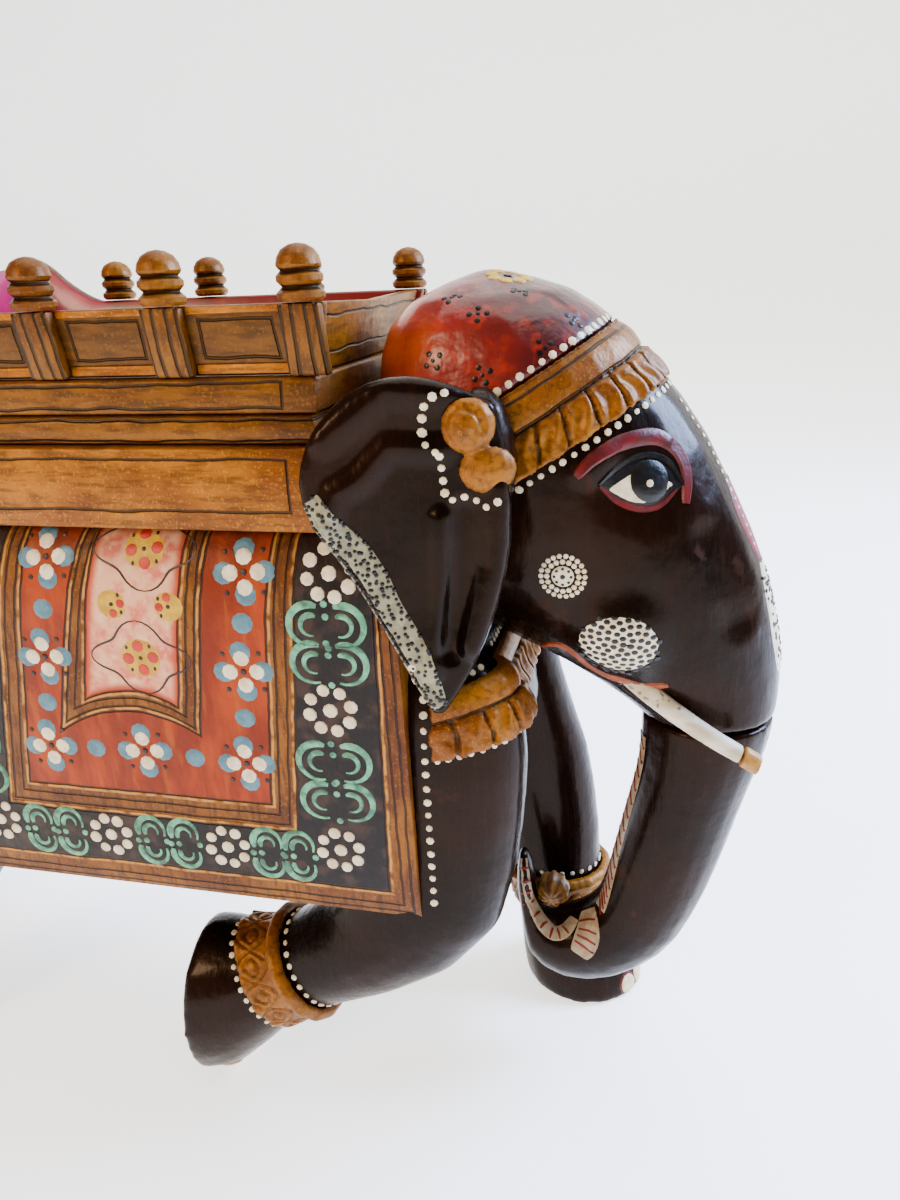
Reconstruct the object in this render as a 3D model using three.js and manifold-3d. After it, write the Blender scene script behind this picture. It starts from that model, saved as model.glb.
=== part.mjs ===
// A carved and painted wooden elephant that carries a railed howdah. Millimetres, +X towards the trunk,
// +Y to the elephant's left, +Z up. It is drawn about the middle of the saddle blanket, and the last lines
// move the origin to the middle of the footprint.
import * as THREE from "three";
import { mergeVertices } from "three/addons/utils/BufferGeometryUtils.js";
import Module from "manifold-3d";

const wasm = await Module();
wasm.setup();

// ---------------------------------------------------------------- driving dimensions
const GAP = 0.3; // between pieces that touch
const LEG_Y = 36; // sideways place of each leg's middle
const SOLE_Z = 3.5; // height of the soles in the drawing
const ANKLET_PROUD = 2.2; // how far an anklet stands out of its leg
const COLLAR_PROUD = 3.2; // the same for the collar
const BAND_PROUD = 1.8; // and for the headband
const TURBAN_PROUD = 0.8; // how far the turban stands out of the skull

const BLANKET_HALF_LENGTH = 91;
const BLANKET_FLARE = 1.6; // how much shorter the blanket is along the back
const BLANKET_HEM_Z = 96;
const BLANKET_THICK = 3.9;

const BACK_TOP_Z = 222.5; // top of the back under the blanket
const BELLY_Z = 78;
const BODY_HALF_WIDTH = 52;

const HOWDAH_REAR_X = -86;
const HOWDAH_FRONT_X = 70.5;
const PLINTH = { bottom: 222.3, top: 246, halfWidth: 52.5 };
const MOULDING = { bottom: 246.3, top: 255, halfWidth: 50.8 };
const TRAY = { bottom: 255.3, top: 264.7, halfWidth: 51.6, floor: 259, wall: 8 };
const RAIL = { bottom: 265, top: 283.3, thick: 4, footY: 46.3, lean: 0.218 };
const RAIL_CORNER_X = 75.4; // front end of the side rails' top edge
const RAIL_FRONT = { x: 65.5, leanX: 0.23, edge: 283.3, sag: 1.4 }; // top edge height, and its sag
const BACKREST = { x: -85, leanX: -0.08, edge: 297, sag: 3.4 };
const WING_TOP_Z = 300; // where the side rails sweep up to the backrest
const POST = { width: 11.5, thick: 3.4, pitch: 38.8, frontX: 69.7, perSide: 4 };
const FINIAL = { radius: 6, height: 13.8, outset: 1.9 }; // outset from the rail's middle plane

const BAND_TILT = THREE.MathUtils.degToRad(32); // the headband rises to the forehead
const BAND_LOW = 133.6; // distances of its edges along its own upright
const BAND_HIGH = 154.7;
const BAND_REAR_X = 106;
const COLLAR_TILT = THREE.MathUtils.degToRad(15);
const COLLAR_LOW = 123.5;
const COLLAR_HIGH = 142.5;
const COLLAR_REAR_X = 98;

const DOWEL_RADIUS = 4;
const LEG_DOWEL = { x: 97, y: 26, z: 150, length: 26 };
const FAR = 600; // size of the blocks that only cut

// ---------------------------------------------------------------- finishes
const paint = (color, roughness = 0.4, metalness = 0) =>
  new THREE.MeshStandardMaterial({ color, roughness, metalness });
const LACQUER = paint(0x241a15, 0.28);
const GOLD = paint(0x9a6a28, 0.42, 0.15);
const TURBAN_RED = paint(0x9c241a, 0.25);
const BLANKET_ORANGE = paint(0xc2581f, 0.4);
const IVORY = paint(0xd8cdb4, 0.45);
const BRASS = paint(0xa8823c, 0.3, 0.8);
const BALL_BROWN = paint(0x6e4a1c, 0.35);
const RAW_WOOD = paint(0xb58a58, 0.7);

// ---------------------------------------------------------------- solids
function solid(geometry) {
  const bare = new THREE.BufferGeometry();
  bare.setAttribute("position", geometry.getAttribute("position").clone());
  if (geometry.index) bare.setIndex(geometry.index.clone());
  const merged = mergeVertices(bare, 1e-3);
  const make = (triVerts) =>
    new wasm.Manifold(
      new wasm.Mesh({ numProp: 3, vertProperties: merged.attributes.position.array, triVerts }),
    );
  const made = make(new Uint32Array(merged.index.array));
  if (made.volume() > 0) return made;
  return make(new Uint32Array(merged.index.array).reverse());
}

function geometryOf(manifold) {
  const mesh = manifold.getMesh();
  const geometry = new THREE.BufferGeometry();
  geometry.setAttribute("position", new THREE.BufferAttribute(mesh.vertProperties, 3));
  geometry.setIndex(new THREE.BufferAttribute(mesh.triVerts, 1));
  return geometry;
}

// The biggest part of a cut piece, without the offcuts.
function main(manifold) {
  const parts = manifold.decompose();
  return parts.reduce((best, part) => (part.volume() > best.volume() ? part : best));
}

const cutBy = (block, ...tools) => main(tools.reduce((left, tool) => left.subtract(tool), block));
const unite = (...blocks) => blocks.reduce((sum, block) => sum.add(block));

function box(low, high) {
  const size = high.map((value, i) => value - low[i]);
  const geometry = new THREE.BoxGeometry(...size);
  geometry.translate(...low.map((value, i) => value + size[i] / 2));
  return solid(geometry);
}

// A thick plate between two parallel planes that are tilted about Y by an angle.
function tiltedSlab(angle, low, high) {
  const geometry = new THREE.BoxGeometry(FAR, FAR, high - low);
  geometry.translate(0, 0, (low + high) / 2);
  geometry.rotateY(-angle);
  return solid(geometry);
}

function rod(radius, length, from, direction) {
  const geometry = new THREE.CylinderGeometry(radius, radius, length, 12);
  const turn = new THREE.Quaternion().setFromUnitVectors(
    new THREE.Vector3(0, 1, 0),
    new THREE.Vector3(...direction).normalize(),
  );
  geometry.applyQuaternion(turn);
  geometry.translate(...from);
  return solid(geometry);
}

// A carved limb. Each rung is a section: its front (or top, or outer) point and its back point in the
// side view, as x, z pairs, its half width, the middle's y, and how square each half of the section is.
function limb(rungs, { around = 20, steps = 20, grow = 0 } = {}) {
  const filled = rungs.map(([fx, fz, bx, bz, half, y = 0, frontSquare = 2, backSquare = 2]) => ({
    front: new THREE.Vector3(fx, y, fz),
    back: new THREE.Vector3(bx, y, bz),
    shape: new THREE.Vector3(half, frontSquare, backSquare),
  }));
  const curve = (key) =>
    new THREE.CatmullRomCurve3(filled.map((rung) => rung[key]), false, "catmullrom", 0.5);
  const fronts = curve("front");
  const backs = curve("back");
  const shapes = curve("shape");
  const geometry = new THREE.CylinderGeometry(1, 1, 1, around, steps);
  const position = geometry.getAttribute("position");
  const middleAt = (t) => fronts.getPoint(t).add(backs.getPoint(t)).multiplyScalar(0.5);
  for (let i = 0; i < position.count; i++) {
    const t = Math.min(1, Math.max(0, 0.5 - position.getY(i)));
    const cos = position.getX(i);
    const sin = position.getZ(i);
    const shape = shapes.getPoint(t);
    const square = cos > 0 ? shape.y : shape.z;
    const across = fronts.getPoint(t).sub(backs.getPoint(t));
    const reach = across.length() / 2 + grow;
    across.normalize();
    const bow = (value) => Math.sign(value) * Math.abs(value) ** (2 / square);
    const point = middleAt(t);
    if (t === 0) point.addScaledVector(middleAt(0.02).sub(middleAt(0)).normalize(), -grow);
    if (t === 1) point.addScaledVector(middleAt(1).sub(middleAt(0.98)).normalize(), grow);
    point.addScaledVector(across, bow(cos) * reach);
    point.y -= bow(sin) * Math.max(0.2, shape.x + grow);
    position.setXYZ(i, point.x, point.y, point.z);
  }
  return solid(geometry);
}

// ---------------------------------------------------------------- side-view drawings
const TORSO = [
  [-142, 176, -141, 152, 5],
  [-139, 199, -139, 124, 26],
  [-126, 215, -128, 101, 40, 0, 2.4, 2],
  [-98, 222, -100, 86, 48.5, 0, 3.6, 2.4],
  [-60, BACK_TOP_Z, -60, 80, 51.5, 0, 6, 3.6],
  [0, BACK_TOP_Z, 0, BELLY_Z, BODY_HALF_WIDTH, 0, 6, 3.6],
  [56, BACK_TOP_Z, 58, 84, 51.5, 0, 6, 3.4],
  [73, 223.5, 92, 98, 50.5, 0, 4, 3],
  [79, 234, 111, 122, 45, 0, 2.6, 2.5],
  [80.5, 253, 122.5, 149, 36],
];
const NECK_FRONT = [101.5, 0, 201]; // middle of the joint between the torso and the head
const NECK_ANGLE = Math.atan2(42, 104); // lean of that joint from upright

const HEAD = [
  [110, 288.4, 107, 288.4, 2],
  [128.5, 284.5, 89.5, 283, 20, 0, 2, 2.4],
  [143, 275.5, 78.5, 271, 29, 0, 2, 3],
  [157, 261.5, 77, 254, 33, 0, 2, 3],
  [171, 244.5, 74, 230, 35, 0, 2, 2.6],
  [184, 220, 78, 205, 35.5],
  [193.5, 198, 94, 187, 32.5],
  [198.6, 178, 122, 173.5, 27.5],
  [200, 163, 144, 160.5, 23],
  [199.4, 150.6, 156.5, 150.6, 20.5],
];
const TRUNK = [
  [199.3, 150, 156.8, 150, 20.4],
  [198, 140, 157, 138.5, 20],
  [195, 129, 156, 127, 19.3],
  [190.5, 112, 152.5, 110, 18],
  [186, 94, 149, 93, 17.2],
  [180.5, 76, 146, 79, 16.6],
  [173, 58.5, 142.5, 70, 16],
  [162.5, 45.5, 137.5, 65, 15],
  [147, 35.8, 132.3, 62.5, 14],
  [130.5, 34.6, 127.5, 62, 12.6],
  [118.5, 43, 123, 65.2, 10.8],
  [115.4, 60, 120.7, 71, 8.6],
  [113.6, 74, 120, 79.5, 7],
  [114.5, 86.5, 117.5, 87.5, 3],
];
const FORELEG_RIGHT = [
  [106, 184, 86, 184, 7, -LEG_Y],
  [119, 173, 69, 173, 14, -LEG_Y],
  [124, 156, 67, 151, 16.4, -LEG_Y, 2.3, 2.3],
  [123, 130, 65, 123, 16.6, -LEG_Y, 2.3, 2.3],
  [120, 106, 60, 105, 17.2, -LEG_Y],
  [110, 76.5, 57, 93, 18.4, -LEG_Y],
  [85.5, 57, 54, 86.5, 18.8, -LEG_Y],
  [61.5, 45.5, 46, 80.5, 18, -LEG_Y],
  [46.5, 38.5, 35.5, 73, 16.8, -LEG_Y],
  [32, 27, 26, 67, 17.8, -LEG_Y],
  [17, 9.5, 14, 68, 21.6, -LEG_Y],
  [0, SOLE_Z, 1, 67, 24, -LEG_Y],
];
const FORELEG_LEFT = [
  [108, 184, 84, 184, 7, LEG_Y],
  [120, 173, 69, 173, 14, LEG_Y],
  [124.5, 153, 67, 150, 16.4, LEG_Y, 2.3, 2.3],
  [131, 130, 76, 125, 16.6, LEG_Y, 2.2, 2.2],
  [137.5, 109, 91, 101, 16.8, LEG_Y],
  [141.5, 80, 101.5, 73, 16.6, LEG_Y],
  [143, 52, 107, 47, 16.6, LEG_Y],
  [146, 31, 109, 28, 17.4, LEG_Y],
  [157.5, 15, 110, 13.5, 22, LEG_Y],
  [161, SOLE_Z, 112, SOLE_Z, 23.6, LEG_Y],
];
const HINDLEG_RIGHT = [
  [-84, 188, -108, 188, 7, -LEG_Y],
  [-68, 175, -127, 174, 14, -LEG_Y],
  [-60, 150, -136, 150, 16.4, -LEG_Y, 2.2, 2.2],
  [-61, 120, -137, 120, 17.4, -LEG_Y],
  [-70, 95, -136, 98, 18, -LEG_Y],
  [-87, 72, -139, 76, 17.8, -LEG_Y],
  [-101, 48, -145, 53, 17.2, -LEG_Y],
  [-107, 28, -149, 31, 17.6, -LEG_Y],
  [-110, 14, -156, 15, 22, -LEG_Y],
  [-110, SOLE_Z, -158, SOLE_Z, 23.4, -LEG_Y],
];
const HINDLEG_LEFT = [
  [-84, 188, -108, 188, 7, LEG_Y],
  [-68, 175, -127, 174, 14, LEG_Y],
  [-60, 150, -135, 150, 16.4, LEG_Y, 2.2, 2.2],
  [-57, 124, -133, 122, 17.4, LEG_Y],
  [-58, 102, -128, 108, 18, LEG_Y],
  [-69, 79, -124, 97, 18.6, LEG_Y],
  [-94, 61, -127, 89, 18.8, LEG_Y],
  [-117, 50, -133, 81, 18, LEG_Y],
  [-132, 42, -142, 73, 16.8, LEG_Y],
  [-148, 31, -154, 63.5, 17.6, LEG_Y],
  [-163, 13.5, -162.5, 57, 21.5, LEG_Y],
  [-172, SOLE_Z, -169, 53.5, 23.4, LEG_Y],
];
const TAIL = [
  [-136, 178, -138, 185, 4],
  [-144, 168, -150.5, 172, 4],
  [-148.5, 146, -155.5, 148, 3.6],
  [-150.5, 118, -156.5, 118, 3.1],
  [-149, 98, -156, 97, 3.6],
  [-146.5, 84, -155.5, 82, 4.6],
  [-148.5, 68, -151.5, 67, 1.6],
];
const TUSK = [
  [146, 175.6, 144.4, 168.8, 3.4, -12],
  [156.5, 170.4, 153.8, 163.8, 3.4, -19.5],
  [167.5, 163.6, 165, 157.4, 3.2, -24.5],
  [179, 156.4, 176.8, 150.8, 3, -26.8],
  [188, 151.4, 186, 146, 2.8, -27.6],
];
const TUSK_CAP = [
  [188.6, 151.6, 186.4, 145.4, 3.2, -27.8],
  [193.4, 149, 191.2, 142.8, 3.2, -28.2],
];

const torsoForm = (grow = 0) => limb(TORSO, { around: 28, steps: 16, grow });
const headForm = (grow = 0) => limb(HEAD, { around: 26, steps: 15, grow });
const legForm = (rungs, grow = 0) => limb(rungs, { around: 16, steps: 14, grow });
const tuskForm = (grow = 0) => limb(TUSK, { around: 10, steps: 6, grow });
const tailForm = (grow = 0) => limb(TAIL, { around: 10, steps: 10, grow });
const mirrored = (manifold) => manifold.mirror([0, 1, 0]);

const LEGS = {
  foreleg_right: FORELEG_RIGHT,
  foreleg_left: FORELEG_LEFT,
  hindleg_right: HINDLEG_RIGHT,
  hindleg_left: HINDLEG_LEFT,
};
const legsGrown = (grow) => unite(...Object.values(LEGS).map((rungs) => legForm(rungs, grow)));

// ---------------------------------------------------------------- dowels
// Each has its middle, its direction and its length. They are glued into round sockets.
const CROWN_NORMAL = [-Math.sin(BAND_TILT), 0, Math.cos(BAND_TILT)];
const NECK_NORMAL = [Math.cos(NECK_ANGLE), 0, Math.sin(NECK_ANGLE)];
const legDowel = (end, side) => ({
  at: [end * LEG_DOWEL.x, side * LEG_DOWEL.y, LEG_DOWEL.z],
  along: [0, 1, 0],
  length: LEG_DOWEL.length,
});
const DOWELS = {
  neck_dowel: { at: NECK_FRONT, along: NECK_NORMAL, length: 44 },
  crown_dowel: { at: [118, 0, 256.6], along: CROWN_NORMAL, length: 22 },
  trunk_dowel: { at: [178, 0, 150.3], along: [0.02, 0, 1], length: 30 },
  foreleg_dowel_right: legDowel(1, -1),
  foreleg_dowel_left: legDowel(1, 1),
  hindleg_dowel_right: legDowel(-1, -1),
  hindleg_dowel_left: legDowel(-1, 1),
  howdah_dowel_rear: { at: [-52, 0, 226], along: [0, 0, 1], length: 30 },
  howdah_dowel_front: { at: [36, 0, 226], along: [0, 0, 1], length: 30 },
};
const dowelForm = ({ at, along, length }, grow = 0) =>
  rod(DOWEL_RADIUS + grow, length + 2 * grow, at, along);
const sockets = unite(...Object.values(DOWELS).map((dowel) => dowelForm(dowel, GAP)));

// ---------------------------------------------------------------- ears
// The ear is a slab in a plane that stands out from the head towards the rear.
const EAR_THICK = 4.4;
const EAR_ROUND = 1.2; // rounding of the slab's rim
const EAR_ROOT = new THREE.Vector3(114, -49.5, 250);
const EAR_OUT = new THREE.Vector3(-1, -0.28, 0).normalize();
const EAR_INWARD = new THREE.Vector3(-0.28, 1, -0.03).normalize();
const EAR_UP = new THREE.Vector3().crossVectors(EAR_INWARD, EAR_OUT);
const EAR_OUTLINE = [
  [-4, 7], [7, 12.5], [18.5, 15], [30, 13], [40, 5.5], [46, -4], [47.5, -15], [42.5, -27],
  [34.5, -40], [28.5, -52], [21, -68], [14.5, -80], [7.5, -72], [0, -58], [-6, -40], [-8.5, -20],
];
const EAR_STEM = { at: [113, -42, 241], size: [9.5, 11, 20] }; // the lump that joins the slab to the head

function earForm(grow = 0, thick = EAR_THICK) {
  const shape = new THREE.Shape();
  const points = EAR_OUTLINE.map(([u, v]) => new THREE.Vector2(u, v));
  shape.moveTo(points[0].x, points[0].y);
  shape.splineThru([...points.slice(1), points[0]]);
  const geometry = new THREE.ExtrudeGeometry(shape, {
    depth: thick - 2 * EAR_ROUND,
    curveSegments: 2,
    bevelEnabled: true,
    bevelSize: EAR_ROUND + grow,
    bevelOffset: -EAR_ROUND,
    bevelThickness: EAR_ROUND,
    bevelSegments: 1,
  });
  geometry.translate(0, 0, EAR_ROUND - thick / 2);
  geometry.applyMatrix4(new THREE.Matrix4().makeBasis(EAR_OUT, EAR_UP, EAR_INWARD));
  geometry.translate(...EAR_ROOT);
  const stem = new THREE.SphereGeometry(1, 14, 10);
  stem.scale(...EAR_STEM.size.map((value) => value + grow));
  stem.translate(...EAR_STEM.at);
  return solid(geometry).add(solid(stem));
}
const earSpace = earForm(GAP, EAR_THICK + 2 * GAP);

// ---------------------------------------------------------------- the carved animal
const aheadOfNeck = (offset) => {
  const geometry = new THREE.BoxGeometry(FAR, FAR, FAR);
  geometry.translate(FAR / 2 + offset, 0, 0);
  geometry.rotateY(-NECK_ANGLE);
  geometry.translate(...NECK_FRONT);
  return solid(geometry);
};
const aboveCrown = (offset) => tiltedSlab(BAND_TILT, BAND_HIGH + offset, FAR);

const turbanForm = (grow) => headForm(TURBAN_PROUD + grow).intersect(aboveCrown(GAP - grow));
const turban = cutBy(turbanForm(0), sockets);
const torso = cutBy(torsoForm(), turbanForm(GAP), legsGrown(GAP), tailForm(GAP), sockets);

const skull = main(headForm().intersect(aheadOfNeck(GAP)));
const head = cutBy(
  skull,
  aboveCrown(0),
  torsoForm(GAP),
  tuskForm(GAP),
  mirrored(tuskForm(GAP)),
  sockets,
);

const bandForm = (grow) =>
  headForm(BAND_PROUD + grow)
    .intersect(tiltedSlab(BAND_TILT, BAND_LOW - grow, BAND_HIGH + TURBAN_PROUD + grow))
    .intersect(box([BAND_REAR_X - grow, -FAR, 0], [FAR, FAR, FAR]));
const headband = cutBy(
  bandForm(0),
  headForm(GAP),
  turbanForm(GAP),
  earSpace,
  mirrored(earSpace),
);

const neckForm = (grow) =>
  unite(torsoForm(grow), legForm(FORELEG_RIGHT, grow), legForm(FORELEG_LEFT, grow));
const skullSpace = headForm(GAP).intersect(aheadOfNeck(-1));
const collar = cutBy(
  neckForm(COLLAR_PROUD)
    .intersect(tiltedSlab(COLLAR_TILT, COLLAR_LOW, COLLAR_HIGH))
    .intersect(box([COLLAR_REAR_X, -FAR, 0], [FAR, FAR, FAR])),
  neckForm(GAP),
  skullSpace,
);

const BALL = { at: [127, 0, 70.6], radius: 6.4 };
function ballForm(grow = 0) {
  const geometry = new THREE.SphereGeometry(BALL.radius + grow, 12, 8);
  geometry.scale(1, 1, 1.1);
  geometry.rotateX(Math.PI / 2);
  geometry.translate(...BALL.at);
  return solid(geometry);
}
const trunk = cutBy(
  limb(TRUNK, { around: 18, steps: 22 }),
  ballForm(GAP),
  sockets,
  tuskForm(GAP),
  mirrored(tuskForm(GAP)),
);

// ---------------------------------------------------------------- blanket
const BLANKET_FORM = [-1, 0, 1].map((end) => [
  end * (BLANKET_HALF_LENGTH - BLANKET_FLARE), BACK_TOP_Z + BLANKET_THICK,
  end * (BLANKET_HALF_LENGTH + 1), BELLY_Z - 4, BODY_HALF_WIDTH + BLANKET_THICK, 0, 6, 5,
]);
const blanketForm = (grow = 0) => limb(BLANKET_FORM, { around: 36, steps: 2, grow });
const blanket = cutBy(
  blanketForm().intersect(box([-FAR, -FAR, BLANKET_HEM_Z], [FAR, FAR, FAR])),
  torsoForm(GAP),
  legsGrown(GAP),
  skullSpace,
  sockets,
);

const ear = cutBy(
  earForm(),
  headForm(GAP),
  turbanForm(GAP),
  blanketForm(GAP),
  torsoForm(GAP),
  legsGrown(GAP),
  mirrored(legsGrown(GAP)),
);

// The boss is a button with a bell-shaped drop under it, at the ear's root. Each lump has its middle
// in the plane of the ear and its half sizes.
const BOSS_LUMPS = [
  { at: [3, 2, -2.2], size: [7.4, 7.4, 4.7] },
  { at: [-1.5, -9.5, -1.8], size: [8, 6.6, 3.8] },
];
function bossForm() {
  const place = new THREE.Matrix4().makeBasis(EAR_OUT, EAR_UP, EAR_INWARD);
  place.setPosition(EAR_ROOT);
  const lumps = BOSS_LUMPS.map(({ at, size }) => {
    const geometry = new THREE.SphereGeometry(1, 14, 8);
    geometry.scale(...size);
    geometry.translate(...at);
    return solid(geometry.applyMatrix4(place));
  });
  return unite(...lumps);
}
const boss = cutBy(bossForm(), earSpace, headForm(GAP), bandForm(GAP));

// ---------------------------------------------------------------- anklets
// Each sits between two planes across its leg: middle of the band and the leg's direction there.
const ANKLET_WIDTH = 18;
const ANKLET_REACH = 45; // wider than any leg
const ANKLETS = {
  anklet_fore_right: { leg: FORELEG_RIGHT, at: [36, -LEG_Y, 54], along: [0.86, 0, 0.51] },
  anklet_fore_left: { leg: FORELEG_LEFT, at: [125, LEG_Y, 51], along: [0.03, 0, 1] },
  anklet_hind_right: { leg: HINDLEG_RIGHT, at: [-120, -LEG_Y, 48], along: [0.48, 0, 0.88] },
  anklet_hind_left: { leg: HINDLEG_LEFT, at: [-141, LEG_Y, 54], along: [0.86, 0, 0.51] },
};
function ankletForm({ leg, at, along }) {
  const band = rod(ANKLET_REACH, ANKLET_WIDTH, at, along);
  return cutBy(legForm(leg, ANKLET_PROUD).intersect(band), legForm(leg, GAP));
}

// ---------------------------------------------------------------- howdah
function roundedBlock(level, rearX, frontX, round) {
  const shape = new THREE.Shape();
  const half = level.halfWidth - round;
  shape.moveTo(rearX + round, -half);
  shape.lineTo(frontX - round, -half);
  shape.lineTo(frontX - round, half);
  shape.lineTo(rearX + round, half);
  const geometry = new THREE.ExtrudeGeometry(shape, {
    depth: level.top - level.bottom - 2 * round,
    bevelEnabled: true,
    bevelSize: round,
    bevelThickness: round,
    bevelSegments: 2,
  });
  geometry.translate(0, 0, level.bottom + round);
  return solid(geometry);
}

const plinth = cutBy(
  roundedBlock(PLINTH, HOWDAH_REAR_X, HOWDAH_FRONT_X, 0.8),
  blanketForm(GAP),
  torsoForm(GAP),
  sockets,
);
const moulding = roundedBlock(MOULDING, HOWDAH_REAR_X + 1, HOWDAH_FRONT_X - 1, 2.6);
const trayHalf = TRAY.halfWidth - TRAY.wall;
const tray = roundedBlock(TRAY, HOWDAH_REAR_X - 0.5, HOWDAH_FRONT_X + 0.5, 0.8).subtract(
  box(
    [HOWDAH_REAR_X + TRAY.wall, -trayHalf, TRAY.floor],
    [HOWDAH_FRONT_X - TRAY.wall, trayHalf, FAR],
  ),
);

// Leans an upright plate outwards: y grows with the height over the tray.
function leaned(geometry) {
  const position = geometry.getAttribute("position");
  for (let i = 0; i < position.count; i++)
    position.setY(i, position.getY(i) - RAIL.lean * (position.getZ(i) - RAIL.bottom));
  return geometry;
}

function sideRail() {
  const shape = new THREE.Shape();
  shape.moveTo(HOWDAH_REAR_X - 0.5, RAIL.bottom);
  shape.lineTo(HOWDAH_FRONT_X + 0.5, RAIL.bottom);
  shape.lineTo(RAIL_CORNER_X, RAIL.top);
  shape.lineTo(-53, RAIL.top);
  shape.quadraticCurveTo(-60, RAIL.top + 1.5, -70, 292);
  shape.quadraticCurveTo(-79, WING_TOP_Z, -85, WING_TOP_Z);
  shape.quadraticCurveTo(-90.5, WING_TOP_Z, -90, WING_TOP_Z - 6);
  const geometry = new THREE.ExtrudeGeometry(shape, {
    depth: RAIL.thick,
    curveSegments: 8,
    bevelEnabled: false,
  });
  geometry.rotateX(Math.PI / 2);
  geometry.translate(0, -RAIL.footY + RAIL.thick / 2, 0);
  return solid(leaned(geometry));
}

// The front rail and the backrest stand between the side rails and lean out like them.
function crossRail({ x, leanX, edge, sag }) {
  const shape = new THREE.Shape();
  const foot = RAIL.footY - RAIL.thick / 2 - GAP;
  const head = foot + RAIL.lean * (edge - RAIL.bottom);
  shape.moveTo(-foot, RAIL.bottom);
  shape.lineTo(foot, RAIL.bottom);
  shape.lineTo(head, edge);
  shape.quadraticCurveTo(0, edge - 2 * sag, -head, edge);
  const geometry = new THREE.ExtrudeGeometry(shape, {
    depth: RAIL.thick,
    curveSegments: 16,
    bevelEnabled: false,
  });
  geometry.rotateX(Math.PI / 2);
  geometry.rotateZ(Math.PI / 2);
  geometry.translate(x, 0, 0);
  const position = geometry.getAttribute("position");
  for (let i = 0; i < position.count; i++)
    position.setX(i, position.getX(i) + leanX * (position.getZ(i) - RAIL.bottom));
  return solid(geometry);
}

function postGeometry() {
  const height = RAIL.top - RAIL.bottom;
  const geometry = new THREE.BoxGeometry(POST.width, POST.thick, height, 1, 1, 1);
  geometry.translate(0, -RAIL.footY - RAIL.thick / 2 - POST.thick / 2 - GAP, RAIL.bottom + height / 2);
  return leaned(geometry);
}

function finialGeometry() {
  const r = FINIAL.radius;
  const profile = [
    [0, 0], [r, 0], [r, 2.6], [r - 1, 3.6], [r, 4.8], [r, 6.8], [r - 1, 7.8], [r * 0.95, 9.6],
    [r * 0.65, 12.4], [0, FINIAL.height],
  ];
  const points = profile.map(([x, y]) => new THREE.Vector2(x, y));
  const geometry = new THREE.LatheGeometry(points, 10);
  geometry.rotateX(Math.PI / 2);
  return geometry;
}

// ---------------------------------------------------------------- assembly
const elephant = new THREE.Group();

function add(name, geometry, material, parent = elephant) {
  const mesh = new THREE.Mesh(geometry, material);
  mesh.name = name;
  parent.add(mesh);
  return mesh;
}

function addPair(stem, manifold, material) {
  add(`${stem}_right`, geometryOf(manifold), material);
  add(`${stem}_left`, geometryOf(mirrored(manifold)), material);
}

add("torso", geometryOf(torso), LACQUER);
add("head", geometryOf(head), LACQUER);
add("trunk", geometryOf(trunk), LACQUER);
for (const [name, rungs] of Object.entries(LEGS))
  add(name, geometryOf(cutBy(legForm(rungs), sockets)), LACQUER);
add("tail", geometryOf(tailForm()), LACQUER);
addPair("ear", ear, LACQUER);
addPair("ear_boss", boss, GOLD);
addPair("tusk", tuskForm(), IVORY);
addPair("tusk_cap", limb(TUSK_CAP, { around: 12, steps: 2 }).subtract(tuskForm(GAP)), BRASS);
add("turban", geometryOf(turban), TURBAN_RED);
add("headband", geometryOf(headband), GOLD);
add("collar", geometryOf(collar), GOLD);
add("trunk_ball", geometryOf(ballForm()), BALL_BROWN);
add("blanket", geometryOf(blanket), BLANKET_ORANGE);
for (const [name, anklet] of Object.entries(ANKLETS)) add(name, geometryOf(ankletForm(anklet)), GOLD);
for (const [name, dowel] of Object.entries(DOWELS)) add(name, geometryOf(dowelForm(dowel)), RAW_WOOD);

const howdah = new THREE.Group();
elephant.add(howdah);
add("howdah_plinth", geometryOf(plinth), GOLD, howdah);
add("howdah_moulding", geometryOf(moulding), GOLD, howdah);
add("howdah_tray", geometryOf(tray), GOLD, howdah);
add("rail_front", geometryOf(crossRail(RAIL_FRONT)), GOLD, howdah);
add("backrest", geometryOf(crossRail(BACKREST)), GOLD, howdah);
const finialY = RAIL.footY + RAIL.lean * (RAIL.top - RAIL.bottom) + FINIAL.outset;
for (const [hand, side] of [["right", 1], ["left", -1]]) {
  const rail = side > 0 ? sideRail() : mirrored(sideRail());
  add(`rail_${hand}`, geometryOf(rail), GOLD, howdah);
  for (let i = 0; i < POST.perSide; i++) {
    const x = POST.frontX - i * POST.pitch;
    const post = add(`post_${hand}_${i + 1}`, postGeometry(), GOLD, howdah);
    post.position.x = x;
    post.scale.y = side;
    const finial = add(`finial_${hand}_${i + 1}`, finialGeometry(), GOLD, howdah);
    finial.position.set(x, -side * finialY, RAIL.top + GAP);
  }
}

const extent = new THREE.Box3().setFromObject(elephant);
const middle = extent.getCenter(new THREE.Vector3());
elephant.position.set(-middle.x, -middle.y, -extent.min.z);

export default elephant;
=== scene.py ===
"""Carved and painted wooden elephant with a howdah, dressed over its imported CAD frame."""

import functools
import math
import random

import bmesh
import bpy
from mathutils import Matrix, Vector
from mathutils.bvhtree import BVHTree


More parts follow.
